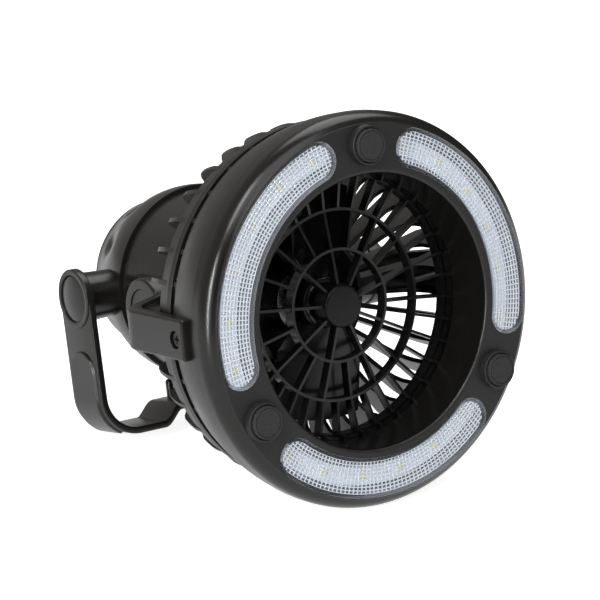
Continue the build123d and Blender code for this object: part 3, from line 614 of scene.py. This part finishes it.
# --- Front guard ----------------------------------------------------------------------
# One-piece moulded grille of three rings and forking spokes in a glossier black, its ends
# trapped between bezel and shell, with a domed cap plugged into the hub.

def dress(node, mat, round_edge=0.0, segments=2):
    """Give a CAD node its material and finish its edges."""
    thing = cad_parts[node]
    thing.data.materials.clear()
    thing.data.materials.append(mat)
    finish(thing, round_edge=round_edge, segments=segments)


guard_black = satin_black("guard black", (0.005, 0.005, 0.0053), (0.0075, 0.0075, 0.008),
                          0.26, 0.6)
dress("front_guard", guard_black, 0.2)
hub_black = satin_black("hub black", (0.0045, 0.0045, 0.005), (0.007, 0.007, 0.0078),
                        0.22, 0.6, 0.25)
dress("guard_hub_cap", hub_black, 0.2)


# --- Rear cage, case screws -----------------------------------------------------------
# Hoop and thirty-six bent fins in the shell's black, closed by the motor can, and fixed with
# three black pan-head screws.

FIN_THICK = 2.2
FIN_TURNS = 5 + 10 * np.arange(36)
FIN = [
    (84.6, 5.0), (84.6, 10.3), (83.9, 22.5), (83.4, 25.2), (82.2, 30.0), (80.9, 34.2),
    (79.4, 36.6), (77.0, 38.4), (60.0, 40.2), (31.0, 42.6), (31.0, 31.6), (52.0, 29.2),
    (60.0, 27.4), (63.6, 24.0), (65.2, 19.5), (65.2, 5.0),
]
HOOP = 85.2
HOOP_SECTION = [
    (HOOP, 9.5), (HOOP - 0.3, 9.3), (HOOP - 0.3, 13.1), (HOOP - 0.6, 13.5), (HOOP - 1.75, 20.8),
    (HOOP - 2.0, 21.0), (HOOP - 3.6, 21.0), (HOOP - 1.8, 9.3),
]
CAN = 32.0
CAN_BACK = 44.0
CAN_ROUND = 1.5
CAN_SECTION = np.vstack([
    [(0, 41.7), (CAN - 2, 41.7), (CAN - 2, 27.0), (CAN, 27.0)],
    arc((CAN - CAN_ROUND, CAN_BACK - CAN_ROUND), CAN_ROUND, 0, 90, 6), [(0, CAN_BACK)],
])
LUG = [(69.0, 5.4), (83.0, 5.4), (83.0, 7.7), (69.0, 7.7)]
LUG_WIDE = 13.5
LUG_TURNS = (90, 210, 330)

cage_black = satin_black("cage black", (0.0068, 0.006, 0.0053), (0.010, 0.009, 0.008),
                         0.36, 0.4)


def wheel(outline, thick, turns):
    """Flat plates across the radial plane, about the fan axis at angles in degrees.

    Each has the (radius, depth) outline on both of its faces, half the thickness to each side.
    """
    r, depth = np.tile(outline, (2, 1)).T
    count = len(outline)
    across = np.repeat([thick / 2, -thick / 2], count)
    faces = [list(range(count)), list(range(2 * count - 1, count - 1, -1))]
    faces += [[k, k + count, (k + 1) % count + count, (k + 1) % count] for k in range(count)]
    angles = np.radians(turns)
    return joined(*[(in_head(r * c - across * s, depth, r * s + across * c), faces)
                    for c, s in zip(np.cos(angles), np.sin(angles))])


cage = welded(*joined(
    wheel(FIN, FIN_THICK, FIN_TURNS), quads(lathe(HOOP_SECTION, 216)),
    quads(lathe(CAN_SECTION, 120)), wheel(LUG, LUG_WIDE, LUG_TURNS)))
cage = piece("cage_moulding", cage, "head", cage_black)
finish(cage, round_edge=0.3)
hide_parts("rear_cage")

screw_black, tree, shader = plain_material("screw black", (0.03, 0.03, 0.032), 0.3)
socket(shader, "Metallic", 0.6)
feed(tree, shader, "Roughness", ramp(tree, noise(tree, 1.2, 3), 0.35, 0.65, 0.22, 0.42))
dress("case_screws", screw_black, 0.15)


# --- Fan drive ------------------------------------------------------------------------
# Flat steel motor can in the cage with a ground shaft, and the two-blade impeller pressed on
# it, moulded in gloss black.

BLADE_ROOT = 10.5
BLADE_BEND = 24.0
BLADE_TIP = 55.8
BLADE_CHORDS = (24.0, 40.5, 40.1)
BLADE_PITCHES = (32.0, 20.0, 12.5)
BLADE_DEPTH = 17.5
BLADE_HALF = 0.9
BLADE_TURNS = (85, 265)
HUB = 12.0
HUB_FRONT = 10.5
HUB_ROUND = 2.2
HUB_SECTION = np.vstack([
    [(0, HUB_FRONT), (9.6, HUB_FRONT)], arc((HUB - HUB_ROUND, 12.7), HUB_ROUND, -90, 0, 7),
    [(HUB, 24.5), (10.2, 24.5), (10.2, 12.9), (3.2, 12.9), (3.2, 23.5), (0, 23.5)],
])


def steel(name, colour, roughness, grain, stretch):
    """Metal with fine streaks drawn out along the fan's axes."""
    mat, tree, shader = plain_material(name, colour, roughness)
    socket(shader, "Metallic", 1.0)
    streak = noise(tree, grain, 4, stretch)
    feed(tree, shader, "Roughness",
         ramp(tree, streak, start=roughness * 0.7, end=roughness * 1.4))
    tint(tree, ramp(tree, streak), tuple(c * 0.85 for c in colour), colour, shader)
    return mat


steel_can = steel("steel can", (0.42, 0.42, 0.43), 0.3, 0.6, (1, 30, 1))
dress("motor", steel_can, 0.3)
dress("motor_shaft", steel_can)
impeller_black = satin_black("impeller black", (0.004, 0.004, 0.0042),
                             (0.0065, 0.0065, 0.007), 0.22, 0.6)


def blade(turn):
    """Pitched blade with round edges, from the hub to the tip circle.

    With v out along the blade and u round its section, the chord and pitch change straight
    between three stations. A point stands off the mid plane by half the thickness times sin u,
    and along the chord by half of it times |cos u|^0.8, signed. The tip follows its circle.
    """
    u = np.linspace(0, 2 * np.pi, 41)[None, :]
    v = np.linspace(0, 1, 28)[:, None]
    length = BLADE_TIP - BLADE_ROOT
    reach = BLADE_ROOT + v * length
    stations = (BLADE_ROOT, BLADE_BEND, BLADE_TIP)
    chord = np.interp(reach, stations, BLADE_CHORDS)
    pitch = np.radians(np.interp(reach, stations, BLADE_PITCHES))
    along = chord / 2 * np.sign(np.cos(u)) * np.abs(np.cos(u))**0.8
    off = BLADE_HALF * np.sin(u)
    z = along * np.cos(pitch) - off * np.sin(pitch)
    depth = BLADE_DEPTH - along * np.sin(pitch) - off * np.cos(pitch)
    tip = np.sqrt(np.maximum(BLADE_TIP**2 - z**2, 1))
    x = BLADE_ROOT + (reach - BLADE_ROOT) * (tip - BLADE_ROOT) / length
    c, s = math.cos(math.radians(turn)), math.sin(math.radians(turn))
    return in_head(x * c - z * s, depth, x * s + z * c)


def ended(grid):
    """A tube of sections closed by a flat face at each end."""
    points, faces = quads(grid)
    count = grid.shape[1]
    faces.append(list(range(count - 1)))
    faces.append([len(points) - 2 - k for k in range(count - 1)])
    return points, faces


impeller = welded(*joined(
    quads(lathe(HUB_SECTION, 96)), *[ended(blade(turn)) for turn in BLADE_TURNS]))
impeller = piece("impeller_moulding", impeller, "rotor", impeller_black)
finish(impeller, 40)
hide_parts("impeller")


# --- Side arms and tilt joint ---------------------------------------------------------
# Thick moulded arms screwed to flats on the ring, ending in round eyes that turn on shouldered
# steel screws under snap-in discs.

SIDES = (("right", 1), ("left", -1))
TILT = (66.0, 0.0)
ARM_LOW, ARM_HIGH = -8.5, 10.0
ARM_ROUND = 1.5
ARM_CUTS = 120
ARM_OUTSIDE = [(93.0, -13.0), (93.0, 36.5), (66.0, 54.2)]
ARM_OUTSIDE_BEND = 8.0
ARM_INSIDE = [(86.3, -13.0), (86.3, 34.0), (58.0, 54.2)]
ARM_INSIDE_BEND = 9.0
# How far back each of the first sections steps from the front end, and how far it draws in.
ARM_NOSE = [(0.0, 1.0), (0.08, 0.7), (0.3, 0.4), (0.6, 0.15)]
ARM_EYE = np.vstack([
    [(3.2, 57.5), (15.7, 57.5)], arc((15.7, 58.1), 0.6, -90, 0, 4),
    arc((15.1, 64.8), 1.2, 0, 90, 6), [(11.5, 66.0), (11.3, 65.8), (11.3, 62.5), (3.2, 62.5)],
])
SIDE_SCREW = (-7.0, 0.75)
COUNTERBORE = [(0, 89.8), (3.9, 89.8), (4.1, 94.0), (0, 94.0)]

arm_black = satin_black("arm black", (0.007, 0.0064, 0.0058), (0.0105, 0.0095, 0.0086),
                        0.33, 0.4)


def lengths(line):
    """Length of a line up to each of its points."""
    return np.concatenate([[0], np.cumsum(np.hypot(*np.diff(line, axis=0).T))])


def placed(t, length, values):
    """Both columns of the values at lengths t."""
    return [np.interp(t, length, values[:, k]) for k in (0, 1)]


def rounded_line(corners, size, count):
    """Evenly spaced points through three corners, the middle one cut by a quadratic curve."""
    before, here, after = np.array(corners, float)
    start = here + (before - here) * size / np.hypot(*(before - here))
    end = here + (after - here) * size / np.hypot(*(after - here))
    k = np.linspace(0, 1, 13)[:, None]
    line = np.vstack([before, start * (1 - k)**2 + 2 * here * k * (1 - k) + end * k**2, after])
    length = lengths(line)
    return np.stack(placed(np.linspace(0, 1, count) * length[-1], length, line), axis=-1)


def rounded_corners(count):
    """Ring of points round a rectangle: the signs of each one's corner and its turn there."""
    way = np.repeat([(1, 1), (-1, 1), (-1, -1), (1, -1)], count, axis=0)
    turn = np.concatenate([np.linspace(start, start + 90, count) for start in (0, 90, 180, 270)])
    return np.vstack([way, way[:1]]), np.radians(np.append(turn, turn[0]))


def side_arm(side):
    """Strap between two bent lines in plan, with a rounded rectangular section.

    With s along both lines at once and u round the section, a point stands between the inside
    line and the outside line, at a height between the arm's edges. The first sections draw in,
    which rounds the front end.
    """
    step, shrink = np.array(ARM_NOSE).T
    outer, inner = (
        np.vstack([line[:1] + step[:, None] * (0, 1), line[1:]])
        for line in (rounded_line(ARM_OUTSIDE, ARM_OUTSIDE_BEND, ARM_CUTS),
                     rounded_line(ARM_INSIDE, ARM_INSIDE_BEND, ARM_CUTS)))
    shrink = np.append(shrink, np.zeros(ARM_CUTS - 1))[:, None]
    thick = np.hypot(*(outer - inner).T)[:, None]
    way, turn = rounded_corners(6)
    away = (thick / 2 - ARM_ROUND - shrink) * way[:, 0] + ARM_ROUND * np.cos(turn)
    tall = ((ARM_HIGH - ARM_LOW) / 2 - ARM_ROUND - shrink) * way[:, 1] + ARM_ROUND * np.sin(turn)
    part = 0.5 + away / thick
    x = inner[:, :1] + (outer[:, :1] - inner[:, :1]) * part
    y = inner[:, 1:] + (outer[:, 1:] - inner[:, 1:]) * part
    return in_head(side * x, y, (ARM_HIGH + ARM_LOW) / 2 + tall)


def crosswise(profile, side, count, middle, mapped=in_head):
    """Profile of (radius, station) points carried round an axis along x, on one side.

    With u round the axis, a point stands at the middle plus radius times (cos u, sin u), its
    own station out from the fan's mid plane.
    """
    r, x, u = spun(profile, count)
    return mapped(side * x, middle[0] + r * np.cos(u), middle[1] + r * np.sin(u))


for name, side in SIDES:
    arm = welded(*joined(ended(side_arm(side)), quads(crosswise(ARM_EYE, side, 96, TILT))))
    hole = welded(*quads(crosswise(COUNTERBORE, side, 48, SIDE_SCREW)))
    arm = piece("arm_" + name, cut(arm, hole), "head", arm_black)
    finish(arm, 30)
    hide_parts("side_arm_" + name)
dress("side_arm_screws", screw_black, 0.15)
dress("tilt_pivots", steel_can)
dress("tilt_pivot_caps", arm_black, 0.3)


# --- Battery drum ---------------------------------------------------------------------
# Tub for four D cells, moulded smooth and glossier than the ring, with two rubber push buttons
# over their switches.

drum_black = satin_black("drum black", (0.0068, 0.0061, 0.0055), (0.0098, 0.0089, 0.008),
                         0.27, 0.5)
dress("drum_body", drum_black, 0.6, 3)
button_rubber, tree, shader = plain_material("button rubber", (0.02, 0.02, 0.021), 0.55)
relief(tree, noise(tree, 0.4), 0.35, 0.2, shader)
dress("fan_button", button_rubber, 0.5, 3)
dress("light_button", button_rubber, 0.5, 3)
dress("switches", guard_black, 0.2)
board_green, tree, shader = plain_material("board green", (0.02, 0.10, 0.04), 0.35)
tint(tree, ramp(tree, noise(tree, 2, 1), 0.49, 0.51), (0.015, 0.09, 0.035), (0.03, 0.14, 0.05),
     shader)
dress("switch_board", board_green)


# --- Cells and contacts ---------------------------------------------------------------
# Plain foil-sleeved D cells between black discs that carry nickel-plated strips.

sleeve = steel("cell sleeve", (0.32, 0.33, 0.35), 0.35, 4, (1, 1, 1))
dress("cells", sleeve, 0.4)
nickel = steel("nickel strip", (0.62, 0.58, 0.5), 0.25, 0.8, (8, 1, 1))
for name in ("front_contacts", "rear_contacts"):
    dress(name, nickel)
for name in ("front_contact_disc", "rear_contact_disc"):
    dress(name, cage_black)


# --- Rear cap -------------------------------------------------------------------------
# Rounded cover in the drum's black that twists off it, with soft finger dimples. Two tapered
# bosses carry the steel pivots that the handle hangs on.

CAP_FRONT = 118.0
CAP_LENGTH = 41.2
CAP_END = CAP_FRONT + CAP_LENGTH
CAP_BACK = 38.05
CAP_ROLL = 10.3
CAP_WALL = 2.4
CAP_CUTS = 360
CAP_COLLAR = [(41.0, CAP_FRONT), (42.1, 110.5), (44.0, 110.5), (44.1, CAP_FRONT - 0.2),
              (47.4, CAP_FRONT - 0.2)]
CAP_PLATE = [(36.9, CAP_END + 0.25), (0, CAP_END + 0.3)]
DIMPLES = [step * 30 for step in range(12) if step % 6]
DIMPLE_DEPTH = 143.5
DIMPLE_SIZE = (5.2, 5.4)
DIMPLE_SUNK = 2.0
SWING = (131.0, 0.0)
HANDLE_BOSS = [(0, 38.0), (11.2, 38.0), (12.2, 62.6), (11.9, 62.85), (0, 62.85)]


def domed_cap():
    """Rounded cover with soft finger dimples, closed over its back.

    With t from 0 at the rim to a quarter turn at the back, the radius is the back radius plus
    the roll times cos(t)^2.93, and the depth the front plus the length times sin(t). Each
    dimple draws both skins in by its depth times exp(-(distance / size)^2).
    """
    t = np.linspace(0, np.pi / 2, 60)[:, None]
    u = np.linspace(0, 2 * np.pi, CAP_CUTS + 1)[None, :]
    skin = CAP_BACK + CAP_ROLL * np.cos(t)**2.93
    depth = CAP_FRONT + CAP_LENGTH * np.sin(t)
    dent = 0
    for turn in np.radians(DIMPLES):
        swing = (u - turn + np.pi) % (2 * np.pi) - np.pi
        away = ((depth - DIMPLE_DEPTH) / DIMPLE_SIZE[0])**2 + (skin * swing / DIMPLE_SIZE[1])**2
        dent = dent + DIMPLE_SUNK * np.exp(-away)
    outside = np.hstack([skin, depth])
    inside = np.hstack([skin - CAP_WALL, CAP_FRONT + (CAP_LENGTH - CAP_WALL) * np.sin(t)])
    line = np.vstack([(0, CAP_END - CAP_WALL), inside[::-1], CAP_COLLAR, outside, CAP_PLATE])
    level = np.zeros((len(CAP_COLLAR), u.size))
    r = line[:, :1] - np.vstack([level[:1], dent[::-1], level, dent, level[:2]])
    return in_head(r * np.cos(u), line[:, 1:], r * np.sin(u))


cap = welded(*quads(domed_cap()))
cap = piece("cap_moulding", cap, "cap", drum_black)
finish(cap)
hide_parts("rear_cap")
bosses = welded(*quads(*[crosswise(HANDLE_BOSS, side, 72, SWING) for _, side in SIDES]))
bosses = piece("handle_bosses", bosses, "cap", drum_black)
finish(bosses, 34)
dress("handle_pivots", steel_can)


# --- Bail handle ----------------------------------------------------------------------
# Bent strap of the same black ABS with raised grip panels, hung on the cap's pivots under
# shallow domed covers. Its raised middle and two lugs keep a cord in place.

LEAN = math.radians(4.9)
STRAP_OUTER = 66.5
STRAP_HALF = 14.5
STRAP_WALL = 3.4
STRAP_CORNER = 20.0
STRAP_ROUND = 0.7
STRAP_START = 13.6
STRAP_BEND = STRAP_CORNER - STRAP_WALL / 2
SADDLE = (22.5, 32.5)
SADDLE_RISE = 7.3
GRIP_HALF = 11.5
GRIP_TOP = 26.0
GRIP_SHORT = 8.0
GRIP_RISE = 1.1
GRIP_ROUND = 0.7
GRIP_SUNK = 0.6
# The handle hangs down from its pivot until the lower edge of its bar is on the floor.
pivot_height = 1000 * HEAD.z - SWING[0] * math.sin(REST_TILT)
full_lean = REST_TILT + LEAN
DROP = (pivot_height - STRAP_HALF * math.sin(full_lean)) / math.cos(full_lean) - 0.05
EYE = np.vstack([
    [(3.6, 63.1), (14.2, 63.1)], arc((14.2, 63.5), 0.4, -90, 0, 3), [(14.6, 66.7)],
    arc((14.0, 66.7), 0.6, 0, 90, 5), [(12.1, 67.3)], arc((12.1, 66.9), 0.4, 90, 180, 3),
    [(11.7, 65.5), (3.6, 65.5)],
])
LUG_PLACE = (12.5, 12.4)
LUG_RADIUS = 2.0
LUG_TALL = 7.0
saddle_top = -DROP + STRAP_WALL + SADDLE_RISE
SADDLE_LUG = np.vstack([[(0, saddle_top - 1), (LUG_RADIUS, saddle_top - 1)],
                        arc((0, saddle_top + LUG_TALL), LUG_RADIUS, 0, 90, 8)])

bail_black = satin_black("bail black", (0.007, 0.0064, 0.0058), (0.0105, 0.0095, 0.0088),
                         0.31, 0.4)


def in_bail(x, width, height):
    """Arrays on the leaning handle's own axes, from its pivot, as points of the part."""
    x, width, height = np.broadcast_arrays(x, width, height)
    c, s = math.cos(LEAN), math.sin(LEAN)
    return in_head(x, SWING[0] + width * c + height * s, -width * s + height * c)


def strap_line():
    """Middle line of the strap's wall, its outward normal and its length to each point.

    The line goes down one side, round a quarter circle, along the bar with its raised middle,
    and up the other side. The step up to the middle is the cubic 3k^2 - 2k^3.
    """
    down = np.linspace(0, STRAP_CORNER - DROP, 40)
    side = np.stack([np.full(40, STRAP_OUTER - STRAP_WALL / 2), down], axis=-1)
    corner = arc((STRAP_OUTER - STRAP_CORNER, STRAP_CORNER - DROP), STRAP_BEND, 0, -90, 24)[1:]
    x = np.linspace(STRAP_OUTER - STRAP_CORNER, 0, 160)[1:]
    k = np.clip((SADDLE[1] - x) / (SADDLE[1] - SADDLE[0]), 0, 1)
    bar = np.stack([x, STRAP_WALL / 2 - DROP + SADDLE_RISE * (3 * k**2 - 2 * k**3)], axis=-1)
    half = np.concatenate([side, corner, bar])
    line = np.concatenate([half, (half * (-1, 1))[-2::-1]])
    length = lengths(line)
    step = np.gradient(line, length, axis=0)
    normal = np.stack([-step[:, 1], step[:, 0]], axis=-1)
    return line, normal / np.hypot(*normal.T)[:, None], length


STRAP_LINE, STRAP_NORMAL, STRAP_LENGTH = strap_line()


def on_strap(t, width, off, side=1):
    """Points t along the strap's line, at a width across it and off it along its normal."""
    x, height = placed(t, STRAP_LENGTH, STRAP_LINE)
    out_x, out_height = placed(t, STRAP_LENGTH, STRAP_NORMAL)
    return in_bail(side * (x + out_x * off), width, height + out_height * off)


def strap():
    """Rounded rectangular section carried along the strap's line.

    Each point of the section starts and ends on a circle inside the eyes' rims, so the ends
    stay hidden in the eyes.
    """
    way, turn = rounded_corners(5)
    width = (STRAP_HALF - STRAP_ROUND) * way[:, 0] + STRAP_ROUND * np.cos(turn)
    off = (STRAP_WALL / 2 - STRAP_ROUND) * way[:, 1] + STRAP_ROUND * np.sin(turn)
    begin = np.sqrt(np.maximum(STRAP_START**2 - width**2, 0))
    share = np.linspace(0, 1, 221)[:, None]
    return on_strap(begin + (STRAP_LENGTH[-1] - 2 * begin) * share, width, off)


def grip_panel(side):
    """Raised panel with a semicircular top, from the strap's leg round its lower corner.

    With a across the panel from -1 to 1 and t along the strap, the panel is as wide as the
    circle at its top allows, and stands proud by its rise, falling to nothing over its rim.
    """
    a = np.linspace(-1, 1, 25)[None, :]
    stretch = DROP - STRAP_CORNER + STRAP_BEND * math.pi / 2 - GRIP_TOP - GRIP_SHORT
    start = np.concatenate([GRIP_HALF * (1 - np.cos(np.linspace(0, np.pi / 2, 16))),
                            np.linspace(GRIP_HALF, stretch, 40)[1:]])[:, None]
    short = np.maximum(GRIP_HALF - start, 0)
    half = np.sqrt(GRIP_HALF**2 - short**2)
    width = a * half
    rim = np.minimum(half - np.abs(width), stretch - start)
    rim = np.where(start < GRIP_HALF, GRIP_HALF - np.hypot(width, short), rim)
    inner = 1 - np.clip(rim / GRIP_ROUND, 0, 1)
    proud = GRIP_RISE * np.sqrt(1 - inner**2)
    front = on_strap(start + GRIP_TOP, width, STRAP_WALL / 2 + proud, side)
    back = on_strap(start + GRIP_TOP, width, STRAP_WALL / 2 - GRIP_SUNK, side)
    return walled(front, back, np.ones((front.shape[0] - 1, front.shape[1] - 1), bool))


def upright(profile, x, width):
    """Profile of (radius, height) points carried round an upright axis of the handle."""
    r, height, u = spun(profile, 32)
    return in_bail(x + r * np.cos(u), width + r * np.sin(u), height)


handle = welded(*joined(
    ended(strap()), grip_panel(1), grip_panel(-1),
    quads(*[crosswise(EYE, side, 96, (0, 0), in_bail) for _, side in SIDES]),
    quads(*[upright(SADDLE_LUG, side * LUG_PLACE[0], LUG_PLACE[1]) for _, side in SIDES])))
handle = piece("bail_strap", handle, "bail", bail_black)
finish(handle, 34)
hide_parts("bail_handle")

cover_black = satin_black("cover black", (0.006, 0.0055, 0.005), (0.009, 0.008, 0.0075),
                          0.24, 0.5)
# The dome is the parabola 1 - (1 - k)^2, with k from 0 at its rim to 1 in the middle.
k = np.linspace(0, 1, 9)
COVER = np.vstack([
    [(0, 65.7), (11.4, 65.7), (11.4, 66.3)], arc((11.0, 66.3), 0.4, 0, 70, 4),
    np.stack([10.8 * (1 - k), 66.75 + 1.5 * (1 - (1 - k)**2)], axis=-1),
])
covers = welded(*quads(
    *[crosswise(COVER, side, 72, (0, 0), in_bail) for _, side in SIDES]))
covers = piece("handle_covers", covers, "bail", cover_black)
finish(covers, 34)
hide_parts("handle_pivot_covers")


# --- Studio ---------------------------------------------------------------------------
# A pale table top under soft overhead and side light, seen from the front left.

IMAGE = 600
SENSOR = 36
FOCAL = 2351.0
AIM = (-40.21, 5.39)
REACH = 1.0753


def direction(x, depth, z):
    """Direction given on the fan's own axes, as one of the part's."""
    return Vector(1000 * (in_head(x, depth, z) - np.array(HEAD)))


right = direction(0.81323, -0.57752, -0.07158)
up = direction(0.16154, 0.10586, 0.98117)
back = direction(-0.55907, -0.80948, 0.17939)
look = (back - right * (AIM[0] / FOCAL) - up * (AIM[1] / FOCAL)).normalized()
across = (right - look * right.dot(look)).normalized()
camera = bpy.data.objects.new("camera", bpy.data.cameras.new("camera"))
bpy.context.scene.collection.objects.link(camera)
camera.data.sensor_width = SENSOR
camera.data.lens = SENSOR * FOCAL / IMAGE
camera.data.clip_start = 0.05
axes = Matrix((across, look.cross(across), look)).transposed().to_4x4()
camera.matrix_world = Matrix.Translation(HEAD + back * REACH) @ axes
bpy.context.scene.camera = camera


def mixed(tree, factor, first, second):
    """Mix of two nodes' shaders."""
    mix = tree.nodes.new("ShaderNodeMixShader")
    feed(tree, mix, 0, factor)
    feed(tree, mix, 1, first.outputs[0])
    feed(tree, mix, 2, second.outputs[0])
    return mix


def white_to_eye(tree, inner, white, output):
    """Show the white to camera and transmitted rays, and the inner shader to all others."""
    path = tree.nodes.new("ShaderNodeLightPath")
    seen = maths(tree, "MAXIMUM", path.outputs["Is Camera Ray"],
                 path.outputs["Is Transmission Ray"])
    feed(tree, tree.nodes[output], "Surface", mixed(tree, seen, inner, white).outputs[0])


world = bpy.data.worlds.new("studio")
world.use_nodes = True
bpy.context.scene.world = world
tree = world.node_tree
soft = tree.nodes["Background"]
socket(soft, "Color", (1.0, 0.955, 0.90, 1))
ray = tree.nodes.new("ShaderNodeTexCoord").outputs["Generated"]
glow = 0.04
for aim, start, strength in (((-0.45, 0.85, 0.25), 0.1, 0.36), ((0.62, -0.72, 0.45), 0.4, 0.15)):
    facing = tree.nodes.new("ShaderNodeVectorMath")
    facing.operation = "DOT_PRODUCT"
    socket(facing, 1, Vector(aim).normalized())
    feed(tree, facing, 0, ray)
    glow = maths(tree, "ADD", ramp(tree, facing.outputs["Value"], start, 0.9, 0, strength), glow)
feed(tree, soft, "Strength", glow)
plain = tree.nodes.new("ShaderNodeBackground")
socket(plain, "Color", (1, 1, 1, 1))
white_to_eye(tree, soft, plain, "World Output")

floor_mesh = bpy.data.meshes.new("floor")
floor_mesh.from_pydata([(-3, -3, 0), (3, -3, 0), (3, 3, 0), (-3, 3, 0)], [], [(0, 1, 2, 3)])
floor = bpy.data.objects.new("floor", floor_mesh)
bpy.context.scene.collection.objects.link(floor)
PAPER_GLOW = 0.86
PAPER_SHEEN = 0.95
paper, tree, shader = plain_material("paper", (0.93, 0.93, 0.93), 0.9, 0.2)
glow = tree.nodes.new("ShaderNodeEmission")
socket(glow, "Strength", PAPER_GLOW)
both = tree.nodes.new("ShaderNodeAddShader")
feed(tree, both, 0, shader.outputs[0])
feed(tree, both, 1, glow.outputs[0])
sheen = tree.nodes.new("ShaderNodeEmission")
socket(sheen, "Strength", PAPER_SHEEN)
glossy = tree.nodes.new("ShaderNodeLightPath").outputs["Is Glossy Ray"]
white_to_eye(tree, mixed(tree, glossy, shader, sheen), both, "Material Output")
floor_mesh.materials.append(paper)
CENTRE = Vector((0, 0, 0.09))


def softbox(name, place, width, height, power, colour=(1, 1, 1)):
    """Rectangular area light at a place, facing the middle of the fan."""
    data = bpy.data.lights.new(name, "AREA")
    data.shape = "RECTANGLE"
    data.size, data.size_y = width, height
    data.energy = power
    data.color = colour
    lamp = bpy.data.objects.new(name, data)
    bpy.context.scene.collection.objects.link(lamp)
    lamp.location = place
    lamp.rotation_euler = (CENTRE - Vector(place)).to_track_quat("-Z", "Y").to_euler()


softbox("front top", (-0.2, -0.9, 1.35), 1.3, 1.0, 7.5, (0.97, 0.985, 1.0))
softbox("left strip", (-1.32, -0.66, 0.42), 0.07, 0.8, 11)
softbox("upper left", (-0.75, -0.5, 1.25), 0.3, 0.6, 5)
softbox("top", (0.5, 0.3, 1.35), 1.1, 0.9, 8)
bpy.context.scene.view_settings.view_transform = "Standard"
